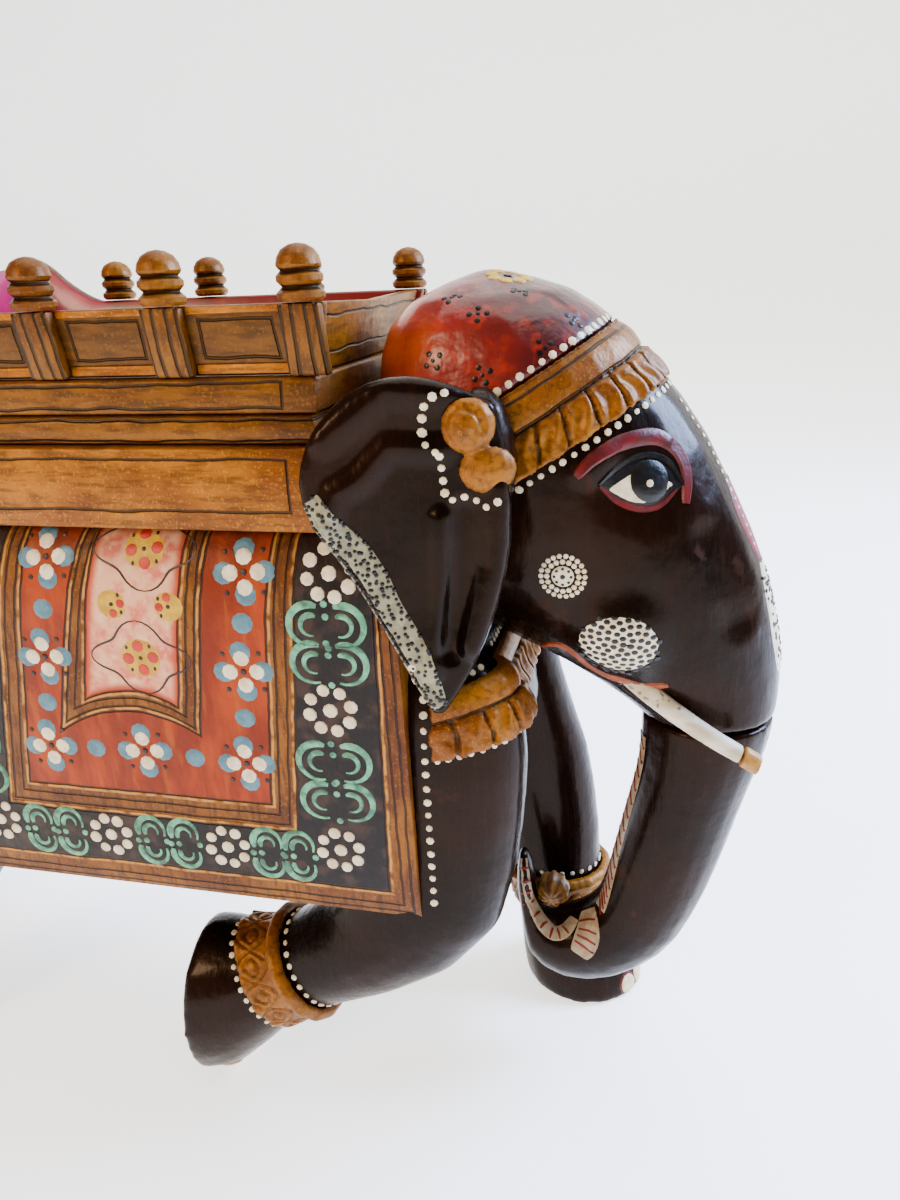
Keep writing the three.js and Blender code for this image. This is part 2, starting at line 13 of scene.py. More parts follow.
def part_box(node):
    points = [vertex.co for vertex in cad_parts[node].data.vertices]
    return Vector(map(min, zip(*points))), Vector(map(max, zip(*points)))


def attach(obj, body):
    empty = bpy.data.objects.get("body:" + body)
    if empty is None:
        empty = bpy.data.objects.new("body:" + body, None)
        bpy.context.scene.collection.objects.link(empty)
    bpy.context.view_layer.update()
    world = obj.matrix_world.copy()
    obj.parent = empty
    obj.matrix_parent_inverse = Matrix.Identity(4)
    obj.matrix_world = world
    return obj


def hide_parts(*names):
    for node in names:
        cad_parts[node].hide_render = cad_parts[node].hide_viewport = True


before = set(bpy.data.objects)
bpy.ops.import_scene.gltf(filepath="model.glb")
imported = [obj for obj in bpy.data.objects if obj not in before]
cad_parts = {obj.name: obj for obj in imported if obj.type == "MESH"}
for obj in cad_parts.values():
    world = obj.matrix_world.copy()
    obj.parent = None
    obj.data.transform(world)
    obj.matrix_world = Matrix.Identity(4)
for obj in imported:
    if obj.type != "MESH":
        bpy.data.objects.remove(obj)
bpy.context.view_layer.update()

bl_info = {
    "name": "Carved Elephant",
    "version": (1, 0, 0),
    "blender": (4, 2, 0),
    "location": "View3D > Sidebar > Elephant",
    "description": "Builds a carved and painted elephant with a howdah over its CAD frame",
    "category": "Object",
}

MM = 0.001
SOLE_Z = 3.5  # height of the soles in the drawing, whose x is 0 at the blanket's middle
CENTRE_X = sum(corner.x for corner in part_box("blanket")) / 2
RIGHT, LEFT = -1, 1  # signs of y
HANDS = (("right", RIGHT), ("left", LEFT))
MATERIALS = {}  # every finish by name, once it is mixed
SURFACES = {}  # carved surfaces by CAD node, for the paint to be laid on


def at(x, y, z):
    """A point of the drawing, which is in millimetres, in the row frame."""
    return Vector((x * MM + CENTRE_X, y * MM, (z - SOLE_Z) * MM))


# ------------------------------------------------------------------ shader maths
def tint(code):
    """The linear colour of an sRGB code such as "#1d1512"."""
    parts = [int(code[i : i + 2], 16) / 255 for i in (1, 3, 5)]
    linear = [c / 12.92 if c <= 0.04045 else ((c + 0.055) / 1.055) ** 2.4 for c in parts]
    return (*linear, 1.0)


class Value:
    """A socket that can be used in arithmetic."""

    def __init__(self, shader, socket):
        self.shader = shader
        self.socket = socket

    def __add__(self, other):
        return self.shader.math("ADD", self, other)

    def __sub__(self, other):
        return self.shader.math("SUBTRACT", self, other)

    def __rsub__(self, other):
        return self.shader.math("SUBTRACT", other, self)

    def __mul__(self, other):
        return self.shader.math("MULTIPLY", self, other)

    def __abs__(self):
        return self.shader.math("ABSOLUTE", self)

    __radd__ = __add__
    __rmul__ = __mul__

    def least(self, other):
        return self.shader.math("MINIMUM", self, other)

    def most(self, other):
        return self.shader.math("MAXIMUM", self, other)

    def over(self, edge, soft=0.1):
        """1 where the value is above the edge and 0 below it, with a soft step between."""
        node = self.shader.node(
            "ShaderNodeMapRange",
            {"interpolation_type": "SMOOTHSTEP"},
            Value=self,
            From_Min=edge - soft,
            From_Max=edge + soft,
        )
        return Value(self.shader, node.outputs[0])


class Shader:
    """A material in the making. Its x, y and z are the drawing's, in millimetres."""

    def __init__(self, name):
        self.material = bpy.data.materials.new(name)
        self.material.use_nodes = True
        self.tree = self.material.node_tree
        self.surface = self.tree.nodes["Principled BSDF"]
        coordinate = self.node("ShaderNodeTexCoord")
        placed = self.node("ShaderNodeMapping", {"vector_type": "POINT"}, Scale=(1 / MM,) * 3)
        placed.inputs["Location"].default_value = (-CENTRE_X / MM, 0, SOLE_Z)
        self.tree.links.new(coordinate.outputs["Object"], placed.inputs["Vector"])
        split = self.node("ShaderNodeSeparateXYZ")
        self.tree.links.new(placed.outputs[0], split.inputs[0])
        self.x, self.y, self.z = (Value(self, socket) for socket in split.outputs)

    def node(self, kind, settings=None, **sockets):
        made = self.tree.nodes.new(kind)
        for key, value in (settings or {}).items():
            setattr(made, key, value)
        for key, value in sockets.items():
            self.feed(made.inputs[key.replace("_", " ")], value)
        return made

    def feed(self, socket, value):
        if isinstance(value, Value):
            self.tree.links.new(value.socket, socket)
        else:
            socket.default_value = value

    def math(self, operation, *values):
        made = self.node("ShaderNodeMath", {"operation": operation})
        for socket, value in zip(made.inputs, values):
            self.feed(socket, value)
        return Value(self, made.outputs[0])

    def noise(self, size, detail=3.0, stretch=(1, 1, 1)):
        """Noise from about 0 to 1 whose lumps are about that many millimetres wide."""
        parts = [axis * (1 / (size * long)) for axis, long in zip((self.x, self.y, self.z), stretch)]
        joined = self.node("ShaderNodeCombineXYZ", X=parts[0], Y=parts[1], Z=parts[2])
        made = self.node(
            "ShaderNodeTexNoise", Vector=Value(self, joined.outputs[0]), Scale=1.0, Detail=detail
        )
        return Value(self, made.outputs[0])

    def mix(self, share, low, high):
        made = self.node("ShaderNodeMix", {"data_type": "RGBA"})
        for index, value in ((0, share), (6, low), (7, high)):
            self.feed(made.inputs[index], tint(value) if isinstance(value, str) else value)
        return Value(self, made.outputs[2])

    def lines(self, distance, places, width):
        """Marks 1 along the places where a distance has the given values."""
        marks = [1.0 - abs(distance - place).over(width, width * 0.6) for place in places]
        return functools.reduce(Value.most, marks)

    def attribute(self, name):
        """A value that is stored on the mesh."""
        made = self.node("ShaderNodeAttribute", {"attribute_type": "GEOMETRY", "attribute_name": name})
        return Value(self, made.outputs["Fac"])

    def finish(self, colour, roughness, height, depth, **plain):
        """Feeds the surface. The height's relief is as deep as the depth, in millimetres."""
        plain = {"Specular_IOR_Level": 0.3, **plain}
        bump = self.node("ShaderNodeBump", Height=height, Strength=1.0, Distance=depth * MM)
        self.feed(self.surface.inputs["Base Color"], colour)
        self.feed(self.surface.inputs["Roughness"], roughness)
        self.tree.links.new(bump.outputs[0], self.surface.inputs["Normal"])
        for key, value in plain.items():
            self.feed(self.surface.inputs[key.replace("_", " ")], value)
        return self.material


# ------------------------------------------------------------------ materials
def enamel(name, base, shade, gloss):
    """Brushed-on paint: two close tones in strokes, with a lively surface."""
    s = Shader(name)
    strokes = s.noise(3.0, 4.0)
    flecks = s.noise(0.7, 2.0).over(0.68, 0.06)
    colour = s.mix(flecks * 0.6, s.mix(strokes.over(0.5, 0.2), base, shade), shade)
    return s.finish(colour, gloss + strokes * 0.2, strokes + s.noise(1.1), 0.12)


def lacquer():
    """Near-black varnish, warm brown where it is thin and worn."""
    s = Shader("black_lacquer")
    broad = s.noise(40.0, 3.0)
    grain = s.noise(1.8, 4.0, (1, 1, 8))
    worn = (s.noise(7.0, 6.0) * s.noise(26.0, 2.0)).over(0.42, 0.04)
    colour = s.mix(broad.over(0.5, 0.16), "#050201", "#160703")
    colour = s.mix(grain.over(0.62, 0.12) * 0.4, colour, "#1e0b03")
    colour = s.mix(worn * 0.4, colour, "#351504")
    gloss = 0.2 + grain * 0.14 + worn * 0.2
    relief_height = grain * 0.5 + s.noise(9.0, 3.0) * 1.8
    return s.finish(colour, gloss, relief_height, 0.24, Coat_Weight=0.06, Coat_Roughness=0.1,
                    Specular_IOR_Level=0.09, Specular_Tint=(1.0, 0.66, 0.45, 1.0))


def gold_ground(s, stretch=(6, 6, 1), shade_tone=1.0):
    """Colour and height of gold-brown paint over grained wood, with painted shade that darkens it for a shade
    tone below 1.
    """
    grain = s.noise(1.6, 5.0, stretch)
    broad = s.noise(22.0, 2.0)
    # Painted glints: bright flecks of gold scattered over the paint.
    glint_flecks = s.noise(0.8, 3.0).over(0.62, 0.05)
    colour = s.mix(broad.over(0.5, 0.2), "#7a3c02", "#a66206")
    colour = s.mix(grain.over(0.55, 0.12) * 0.7, colour, "#4c2402")
    colour = s.mix(s.noise(7.0, 5.0).over(0.6, 0.1) * 0.5, colour, "#5a2c04")
    colour = s.mix(glint_flecks * 0.35, colour, "#cf8c1c")
    # Painted shade: a shade tone below 1 darkens the gold towards dark brown.
    return s.mix(1 - shade_tone, colour, "#1e0d02"), grain


def gilt(name, distances, shade_tone, stretch=(6, 6, 1), width=0.33):
    """Gold-brown paint with incised dark lines. Each entry is a function of the shader that gives a
    distance, and the distances at which it is cut. With none it has small chips."""
    s = Shader(name)
    ground, grain = gold_ground(s, stretch, shade_tone)
    # Painted shade: the gold darkens where the carved relief sinks deepest.
    groove_shade = s.attribute("groove_shade")
    wander = (s.noise(16.0, 3.0) - 0.5) * 2.2
    cuts = [s.lines(distance(s) + wander, places, width) for distance, places in distances]
    cut = functools.reduce(Value.most, cuts) if cuts else s.noise(5.0).over(0.8, 0.02)
    colour = s.mix(cut.most(groove_shade) * 0.92, ground, "#1c0c03")
    return s.finish(colour, 0.32 + grain * 0.2, grain * 0.5 + s.noise(5.0) - cut * 2.6, 0.35,
                    Metallic=0.15, Specular_Tint=(1.0, 0.8, 0.5, 1.0))


def turban_paint():
    """Red gloss with an orange painted highlight on the crown's rear slope, and painted shade that turns it
    maroon low in front.
    """
    s = Shader("turban_paint")
    # Painted shade: darker maroon towards the front.
    sweep = (s.x * -0.022 + s.z * -0.012 + 6.0 + s.noise(16.0, 3.0) * 0.7).over(0.75, 0.5)
    colour = s.mix(sweep, "#3a0404", "#961604")
    # Painted highlight: orange on the crown's rear slope.
    colour = s.mix((s.x * -0.03 + 3.1 + s.noise(12.0, 3.0)).over(0.85, 0.3) * 0.8, colour, "#c04a00")
    colour = s.mix(s.noise(5.0, 5.0).over(0.6, 0.12) * 0.35, colour, "#c02c06")
    colour = s.mix(s.noise(2.0, 5.0).over(0.68, 0.05) * 0.3, colour, "#2c0604")
    return s.finish(colour, 0.26 + s.noise(3.0) * 0.12, s.noise(8.0, 3.0) * 2.0, 0.4, Coat_Weight=0.25,
                    Coat_Roughness=0.12, Specular_IOR_Level=0.3)


def ivory_paint():
    """Cream paint, chipped and stained."""
    s = Shader("ivory_paint")
    stain = s.noise(5.0, 5.0, (3, 1, 1))
    colour = s.mix(stain.over(0.5, 0.14), "#d9cfb8", "#b9a98a")
    chips = (s.noise(2.6, 5.0) + (166.0 - s.x) * 0.006).over(0.66, 0.03)
    colour = s.mix(chips * 0.8, colour, "#7a4a22")
    return s.finish(colour, 0.34 + stain * 0.2, stain - chips, 0.3)


# Borders of the blanket's nested U shapes: right edge and left edge as x at z 120 and lean, the
# bottom's height in the middle, and how fast the bottom falls away from the middle.
NESTED = {
    "hem": (91.1, -0.016, -91.1, 0.016, 96, 0),
    "border": (82.3, 0.0155, -82.3, -0.0155, 106, 0),
    "border_inner": (52.8, 0.085, -52.8, 0.18, 125, 0),
    "band": (44, 0.088, -44, 0.172, 134.5, 0),
    "panel_frame": (19.5, 0.135, -34, 0.25, 164, 0.013),
    "panel": (12, 0.139, -23.4, 0.2, 171, 0.016),
}


def blanket_paint():
    """Nested bands of colour, with gilt mouldings between them and incised lines along them, painted
    highlights beside the mouldings' edges and a painted shadow under the howdah along the top.
    """
    s = Shader("blanket_paint")
    wobble = (s.noise(14.0, 3.0) - 0.5) * 1.8
    x = s.x + wobble
    z = s.z + wobble * 0.8
    inside = {}
    for name, (right, right_lean, left, left_lean, bottom, arch) in NESTED.items():
        rise = z - 120.0
        r = rise * right_lean + right - x
        l = x - left - rise * left_lean
        middle = (right + left) / 2 + (right_lean + left_lean) / 2 * 45
        off = x - middle
        b = z - bottom + off * off * arch
        inside[name] = r.least(l).least(b)
    # The blanket's gold frames get a shade tone of 0.52, as painted shade.
    gold, grain = gold_ground(s, (1, 1, 6), 0.52)
    dark = s.mix(s.noise(6.0).over(0.55, 0.1), "#17100c", "#33221a")
    orange = s.mix(s.noise(9.0, 4.0, (1, 1, 3)).over(0.5, 0.14), "#943200", "#6e2000")
    orange = s.mix(s.noise(4.0, 4.0, (1, 1, 5)).over(0.62, 0.08) * 0.6, orange, "#9a4600")
    pink = s.mix(s.noise(7.0, 4.0).over(0.52, 0.12), "#d89c78", "#c4604a")
    pink = s.mix(s.noise(3.0, 4.0).over(0.6, 0.1) * 0.6, pink, "#dfb48c")
    pink = s.mix(inside["panel"].over(2.0, 1.6), "#a83818", pink)
    colour = gold
    for name, next_colour in (("border", dark), ("border_inner", gold), ("band", orange),
                              ("panel_frame", gold), ("panel", pink)):
        colour = s.mix(inside[name].over(0, 0.15), colour, next_colour)
    # Painted shadow under the howdah's plinth: the blanket darkens towards its top.
    shade = (s.z.over(214.0, 7.0)) * 0.45
    cut = s.lines(inside["hem"], (2.0, 5.0), 0.3)
    for name, places in (("border", (0,)), ("border_inner", (0, 2.6, 6.0)), ("band", (0,)),
                         ("panel_frame", (0, 1.8, 4.6)), ("panel", (0,))):
        cut = cut.most(s.lines(inside[name], places, 0.3))
    # Painted highlights: bright gold lines beside the edges of the gold frames, raised a little in the bump
    # too.
    edge = s.lines(inside["border"], (-0.9,), 0.5)
    for name, place in (("border_inner", 0.9), ("band", -0.9), ("panel_frame", 0.9), ("panel", -0.9)):
        edge = edge.most(s.lines(inside[name], (place,), 0.5))
    colour = s.mix(edge * s.noise(5.0, 3.0).over(0.45, 0.1) * 0.7, colour, "#c88a3c")
    flank = abs(s.y).over(46.0, 2.0)
    colour = s.mix(shade, s.mix(cut * 0.85 * flank, colour, "#241207"), "#2a0f08")
    return s.finish(colour, 0.36 + grain * 0.2, grain * 0.4 + s.noise(5.0) + edge - cut * 2.4, 0.35,
                    Specular_IOR_Level=0.16)


POST_PITCH = 38.8
POST_XS = [69.7 - POST_PITCH * i for i in range(4)]
BAND_TILT = math.radians(32)  # how far the headband's plane leans back from level
COLLAR_TILT = math.radians(15)


def framed(middle, half, centre_x, half_length):
    """Distance inside a rectangle that is incised on a flank."""
    return lambda s: (half - abs(s.z - middle)).least(half_length - abs(s.x - centre_x))


def panelled(s):
    """Distance inside the rectangles between the posts."""
    along = s.math("PINGPONG", s.x - POST_XS[0] + 10 * POST_PITCH, POST_PITCH / 2)
    return (along - 8.8).least(5.0 - abs(s.z - 275.0))


def fluted(s):
    """Distance across a post from its middle."""
    return s.math("WRAP", s.x - POST_XS[0], POST_PITCH / 2, -POST_PITCH / 2)


def height_along(tilt):
    """Height along the axis of a band that leans back."""
    return lambda s: s.z * math.cos(tilt) - s.x * math.sin(tilt)


def inside_paint():
    """Red gloss inside the howdah, magenta on the raised wings."""
    s = Shader("inside_paint")
    wear = s.noise(6.0, 4.0)
    red = s.mix(wear, "#8c120a", "#5c0a06")
    magenta = s.mix(wear, "#b01450", "#8a0c3c")
    colour = s.mix((s.x + s.noise(20.0) * 6).over(-48.0, 3.0), magenta, red)
    return s.finish(colour, 0.25 + wear * 0.2, wear, 0.2, Coat_Weight=0.3, Coat_Roughness=0.15)


def bare_wood():
    """The dowels' finish, seen only when the carving is taken apart."""
    s = Shader("bare_wood")
    grain = s.noise(1.5, 4.0, (6, 1, 1))
    return s.finish(s.mix(grain, "#c49a68", "#9a7040"), 0.6 + grain * 0.1, grain, 0.2)


def mix_materials(settings):
    """Makes every finish that the pieces share, and finishes the dowels, which stay in the wood."""
    for name, base, shade, gloss in (
        ("pale", "#a08c6c", "#846a4c", 0.35),
        ("stripe", "#7c120c", "#580a08", 0.35),
        ("pink", "#8e1c30", "#601020", 0.3),
        ("nail", "#e8d0a4", "#c9a878", 0.3),
        ("cream", "#e2d4b4", "#c4ae88", 0.3),
        ("speckle", "#8c8668", "#6e6850", 0.35),
        ("blue_grey", "#4f7582", "#3e606c", 0.35),
        ("dark", "#1c0d0a", "#33140e", 0.3),
        ("black", "#040303", "#0c0806", 0.22),
        ("mint", "#62a680", "#2c5a44", 0.35),
        ("red", "#9c0c06", "#b42408", 0.3),
        ("yellow", "#c49a00", "#a87c00", 0.35),
        ("brow", "#5a0605", "#3c0404", 0.3),
        ("lip", "#8a3804", "#642404", 0.35),
        ("ball", "#7a4f18", "#4c2f10", 0.28),
        ("brass", "#b8863c", "#8a5a1e", 0.3),
    ):
        MATERIALS[name] = enamel(f"{name}_paint", base, shade, gloss)
    even = {"stretch": (1, 1, 1)}
    # The third entry is each piece's shade tone: painted shade that darkens its gold, set piece by piece.
    for name, distances, shade_tone, look in (
        ("dress", [], 0.66, even),
        ("headband", [(height_along(BAND_TILT), (145.2, 152.6))], 0.62, {**even, "width": 0.4}),
        ("collar", [(height_along(COLLAR_TILT), (134.5,))], 0.72, {**even, "width": 0.4}),
        ("howdah_plinth", [(framed(235.5, 7.4, -12, 73), (0,))], 0.82, {}),
        ("howdah_moulding", [(lambda s: s.z, (247.6, 253.4))], 0.45, {}),
        ("howdah_tray", [(framed(260, 3.2, -7, 68), (0,))], 0.42, {}),
        ("side_rail", [(panelled, (0,))], 0.26, {}),
        ("front_rail", [(lambda s: s.z, (270, 279.5))], 0.56, {}),
        ("ledge", [], 1.0, {}),
        ("post", [(fluted, (-2, 2, -5, 5))], 0.4, {"stretch": (1, 1, 5), "width": 0.4}),
        ("finial", [(lambda s: s.z, (287.0, 290.9))], 0.56, {**even, "width": 0.5}),
    ):
        MATERIALS[name] = gilt(f"{name}_gilt", distances, shade_tone, **look)
    MATERIALS.update(lacquer=lacquer(), ivory=ivory_paint(), turban=turban_paint(), blanket=blanket_paint(),
                     inside=inside_paint())
    wood = bare_wood()
    for name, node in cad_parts.items():
        if "_dowel" in name:
            node.data.materials.clear()
            node.data.materials.append(wood)


# ------------------------------------------------------------------ meshes
def finished(name, bm, materials, replaces=(), sharp=math.radians(38)):
    """Turns a bmesh into a piece that rides on the frame."""
    bmesh.ops.recalc_face_normals(bm, faces=bm.faces)
    for face in bm.faces:
        face.smooth = True
    for edge in bm.edges:
        edge.smooth = not (edge.is_manifold and edge.calc_face_angle(0) > sharp)
    mesh = bpy.data.meshes.new(name)
    bm.to_mesh(mesh)
    bm.free()
    piece = bpy.data.objects.new(name, mesh)
    for material in materials:
        mesh.materials.append(material)
    bpy.context.scene.collection.objects.link(piece)
    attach(piece, "root")
    if replaces:
        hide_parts(*replaces)


def copied(*nodes):
    """A merged copy of CAD pieces as a bmesh."""
    bm = bmesh.new()
    for node in nodes:
        bm.from_mesh(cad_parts[node].data)
    bmesh.ops.remove_doubles(bm, verts=bm.verts, dist=1e-5)
    return bm


def eased(*nodes, width):
    """A copy whose hard edges are rounded over a width in millimetres."""
    bm = copied(*nodes)
    bmesh.ops.dissolve_limit(bm, angle_limit=math.radians(2), verts=bm.verts, edges=bm.edges)
    hard = [e for e in bm.edges if e.is_manifold and e.calc_face_angle(0) > math.radians(32)]
    bmesh.ops.bevel(bm, geom=hard, offset=width * MM, segments=2, profile=0.5, affect="EDGES",
                    material=-1, clamp_overlap=True)
    return bm


def carved(node, voxel, passes):
    """A copy of a CAD piece with the facets worn away, as a bmesh."""
    bm = copied(node)
    mesh = bpy.data.meshes.new("rough")
    bm.to_mesh(mesh)
    bm.free()
    rough = bpy.data.objects.new("rough", mesh)
    bpy.context.scene.collection.objects.link(rough)
    remesh = rough.modifiers.new("Remesh", "REMESH")
    remesh.mode = "VOXEL"
    remesh.voxel_size = voxel * MM
    smooth = rough.modifiers.new("Smooth", "SMOOTH")
    smooth.factor = 0.5
    smooth.iterations = passes
    bpy.context.view_layer.update()
    seen = rough.evaluated_get(bpy.context.evaluated_depsgraph_get())
    bm = bmesh.new()
    bm.from_mesh(seen.to_mesh())
    bpy.data.objects.remove(rough)
    bpy.data.meshes.remove(mesh)
    bm.normal_update()
    return bm


def carved_piece(node, bm, material):
    """Turns a carved surface into the piece that replaces its CAD node, and keeps it for the paint."""
    bm.normal_update()
    SURFACES[node] = bm.copy()
    finished(f"{node}_carved", bm, [MATERIALS[material]], [node], math.pi)


def nearest_on(path, point):
    """Distance from a point to a polyline."""
    if len(path) == 1:
        return (point - path[0]).length
    best = 1e9
    for a, b in zip(path, path[1:]):
        along = b - a
        t = max(0.0, min(1.0, (point - a).dot(along) / along.length_squared))
        best = min(best, (point - a - along * t).length)
    return best


def push(bm, path, radius, amount, direction=None):
    """Raises or dents the surface near a path of drawing points, by millimetres."""
    path = [at(*p) for p in path]
    reach = radius * MM
    low = Vector(map(min, *path, path[0])) - Vector((reach,) * 3)
    high = Vector(map(max, *path, path[0])) + Vector((reach,) * 3)
    for vert in bm.verts:
        co = vert.co
        if not (low.x < co.x < high.x and low.y < co.y < high.y and low.z < co.z < high.z):
            continue
        far = nearest_on(path, co) / reach
        if far < 1:
            vert.co = co + (direction or vert.normal) * (amount * MM * (1 - far * far) ** 2)


def relief(bm, height_at):
    """Moves the vertices along their normals by a height, in millimetres, that is a function of the
    drawing's x, y, z and the normal. The bottoms of the grooves are stored as an attribute, by which the gold
    is darkened there as painted shade."""
    bm.normal_update()
    groove_shade = bm.verts.layers.float.new("groove_shade")
    moves = []
    for vert in bm.verts:
        x, y, z = (vert.co.x - CENTRE_X) / MM, vert.co.y / MM, vert.co.z / MM + SOLE_Z
        height = height_at(x, y, z, vert.normal)
        vert[groove_shade] = min(1.0, max(0.0, -0.35 - height * 1.5))
        moves.append((vert, vert.normal * (height * MM)))
    for vert, move in moves:
        vert.co += move


class Brush:
    """Lays raised marks of paint on a carved surface."""

    def __init__(self, *names):
        verts, faces = [], []
        for name in names:
            first = len(verts)
            verts += [v.co.copy() for v in SURFACES[name].verts]
            faces += [[v.index + first for v in f.verts] for f in SURFACES[name].faces]
        self.tree = BVHTree.FromPolygons(verts, faces)
        self.bm = bmesh.new()

    def snap(self, point):
        place, normal, _, _ = self.tree.find_nearest(point)
        return place, normal

    def cast(self, x, z, side):
        """Where a line along Y meets the surface, from outside."""
        place, normal, _, _ = self.tree.ray_cast(at(x, side * 140, z), Vector((0, -side, 0)))
        return (place, normal) if place else (None, None)

    def cast_all(self, points, side):
        """The places where lines along Y through x, z pairs meet the surface."""
        return [place for place in (self.cast(x, z, side)[0] for x, z in points) if place]

    def ring(self, centre, axis, start, end, count=40, reach=140):
        """Points round a piece, in the plane through a drawing point with that axis and within a reach of
        it. Angles are in degrees from +X towards +Y."""
        middle = at(*centre)
        normal = Vector(axis).normalized()
        ahead = (Vector((1, 0, 0)) - normal * normal.x).normalized()
        beside = normal.cross(ahead)
        found = []
        for i in range(count):
            angle = math.radians(start + (end - start) * i / (count - 1))
            out = ahead * math.cos(angle) + beside * math.sin(angle)
            place, *_ = self.tree.ray_cast(middle + out * 0.14, -out)
            if place and (place - middle).length < reach * MM:
                found.append(place)
        return found

    def mark(self, rings, material):
        """Joins rings of vertices, from the rim to a middle vertex."""
        for outer, inner in zip(rings, rings[1:]):
            count = len(outer)
            for i in range(count):
                j = (i + 1) % count
                corners = [outer[i], outer[j]]
                corners += [inner[0]] if len(inner) == 1 else [inner[j], inner[i]]
                self.bm.faces.new(corners).material_index = material

    def dot(self, point, radius, height=0.35, material=0, sides=9, stretch=1.0, turn=0.0, pinch=0.0):
        """A round or oval daub on the surface near a point."""
        place, normal = self.snap(point)
        across = normal.cross(Vector((0, 0, 1)))
        across = across.normalized() if across.length > 0.1 else Vector((1, 0, 0))
        up = normal.cross(across) * -1
        spin = Matrix.Rotation(turn, 3, normal)
        across, up = spin @ across, spin @ up
        rings = []
        for share, lift in ((1.0, -0.08), (0.86, height * 0.75), (0.5, height)):
            ring = []
            for i in range(sides):
                angle = math.tau * i / sides
                narrow = 1 - pinch * math.cos(angle) ** 2
                off = across * math.cos(angle) * stretch + up * math.sin(angle) * narrow
                spot, out = self.snap(place + off * radius * share * MM)
                ring.append(self.bm.verts.new(spot + out * lift * MM))
            rings.append(ring)
        rings.append([self.bm.verts.new(place + normal * height * MM)])
        self.mark(rings, material)

    def stroke(self, points, widths, height=0.3, material=0):
        """A ribbon of paint along points, as wide as the widths say at each."""
        spots = [self.snap(p) for p in points]
        rows = []
        for i, (spot, normal) in enumerate(spots):
            before = spots[max(0, i - 1)][0]
            after = spots[min(len(spots) - 1, i + 1)][0]
            side = (after - before).cross(normal)
            if side.length < 1e-9:
                continue
            side.normalize()
            half = widths[i] / 2 * MM
            row = []
            for share, lift in ((-1, -0.08), (-0.6, height), (0.6, height), (1, -0.08)):
                foot, out = self.snap(spot + side * half * share)
                row.append(self.bm.verts.new(foot + out * lift * MM))
            rows.append(row)
        for first, second in zip(rows, rows[1:]):
            for i in range(3):
                face = self.bm.faces.new((first[i], first[i + 1], second[i + 1], second[i]))
                face.material_index = material

    def beads(self, points, pitch, radius, height=0.45, material=0, gap=12):
        """Dots at an even pitch along a line of points, except across gaps wider than that."""
        carry = 0.0
        for a, b in zip(points, points[1:]):
            length = (b - a).length
            if length > gap * MM:
                continue
            while carry < length:
                point = a.lerp(b, carry / length)
                self.dot(point, radius * random.uniform(0.85, 1.15), height, material, 7,
                         random.uniform(0.9, 1.15), random.uniform(0, math.pi))
                carry += pitch * MM * random.uniform(0.94, 1.06)
            carry -= length

    def piece(self, name, materials, slot):
        """Makes a piece of what the brush has laid."""
        finished(name, self.bm, materials)


def smooth_path(points, steps=6):
    """Drawing points joined by a Catmull-Rom curve, in the row frame."""
    pts = [at(*p) for p in points]
    pts = [pts[0] * 2 - pts[1], *pts, pts[-1] * 2 - pts[-2]]
    out = []
    for p0, p1, p2, p3 in zip(pts, pts[1:], pts[2:], pts[3:]):
        for i in range(steps):
            t = i / steps
            out.append(0.5 * (2 * p1 + (p2 - p0) * t + (2 * p0 - 5 * p1 + 4 * p2 - p3) * t * t
                              + (3 * p1 - p0 - 3 * p2 + p3) * t ** 3))
    return [*out, pts[-2]]


def swelling(count, widest, ends=0.35):
    """Widths of a brush stroke that is thin at both ends."""
    return [widest * (ends + (1 - ends) * math.sin(math.pi * i / (count - 1)) ** 0.6) for i in range(count)]


# ------------------------------------------------------------------ the animal
def carve_body(settings):
    """Torso, legs and tail."""
    for node, voxel, passes in (("torso", 2.2, 30), ("foreleg_right", 1.3, 40), ("foreleg_left", 1.3, 40),
                                ("hindleg_right", 1.4, 40), ("hindleg_left", 1.4, 40), ("tail", 0.8, 16)):
        carved_piece(node, carved(node, voxel, passes), "lacquer")


def carve_head(settings):
    """Head, trunk, ears and tusks."""
    head = carved("head", 1.1, 24)
    for side in (RIGHT, LEFT):
        socket = (157, side * 31, 231)
        lid = [(140, side * 33, 236), (150, side * 33, 243), (162, side * 30, 243), (170, side * 25, 234)]
        cheek = [(150, side * 30, 185)]
        jaw = [(128, side * 30, 176), (138, side * 29, 173), (150, side * 28, 170)]
        cheekbone = [(176, side * 22, 214), (184, side * 20, 190)]
        for path, radius, amount in (([socket], 17, -1.6), ([socket], 9, 1.9), (lid, 6, 1.5),
                                     (cheek, 19, 4.2), (jaw, 5, -1.2), (cheekbone, 10, -1.2)):
            push(head, path, radius, amount)
    carved_piece("head", head, "lacquer")
    carved_piece("trunk", carved("trunk", 1.0, 20), "lacquer")
    for hand, side in HANDS:
        carve_ear(f"ear_{hand}", side)
    for hand, _ in HANDS:
        carved_piece(f"tusk_{hand}", carved(f"tusk_{hand}", 0.5, 8), "ivory")
        carved_piece(f"tusk_cap_{hand}", carved(f"tusk_cap_{hand}", 0.4, 6), "brass")


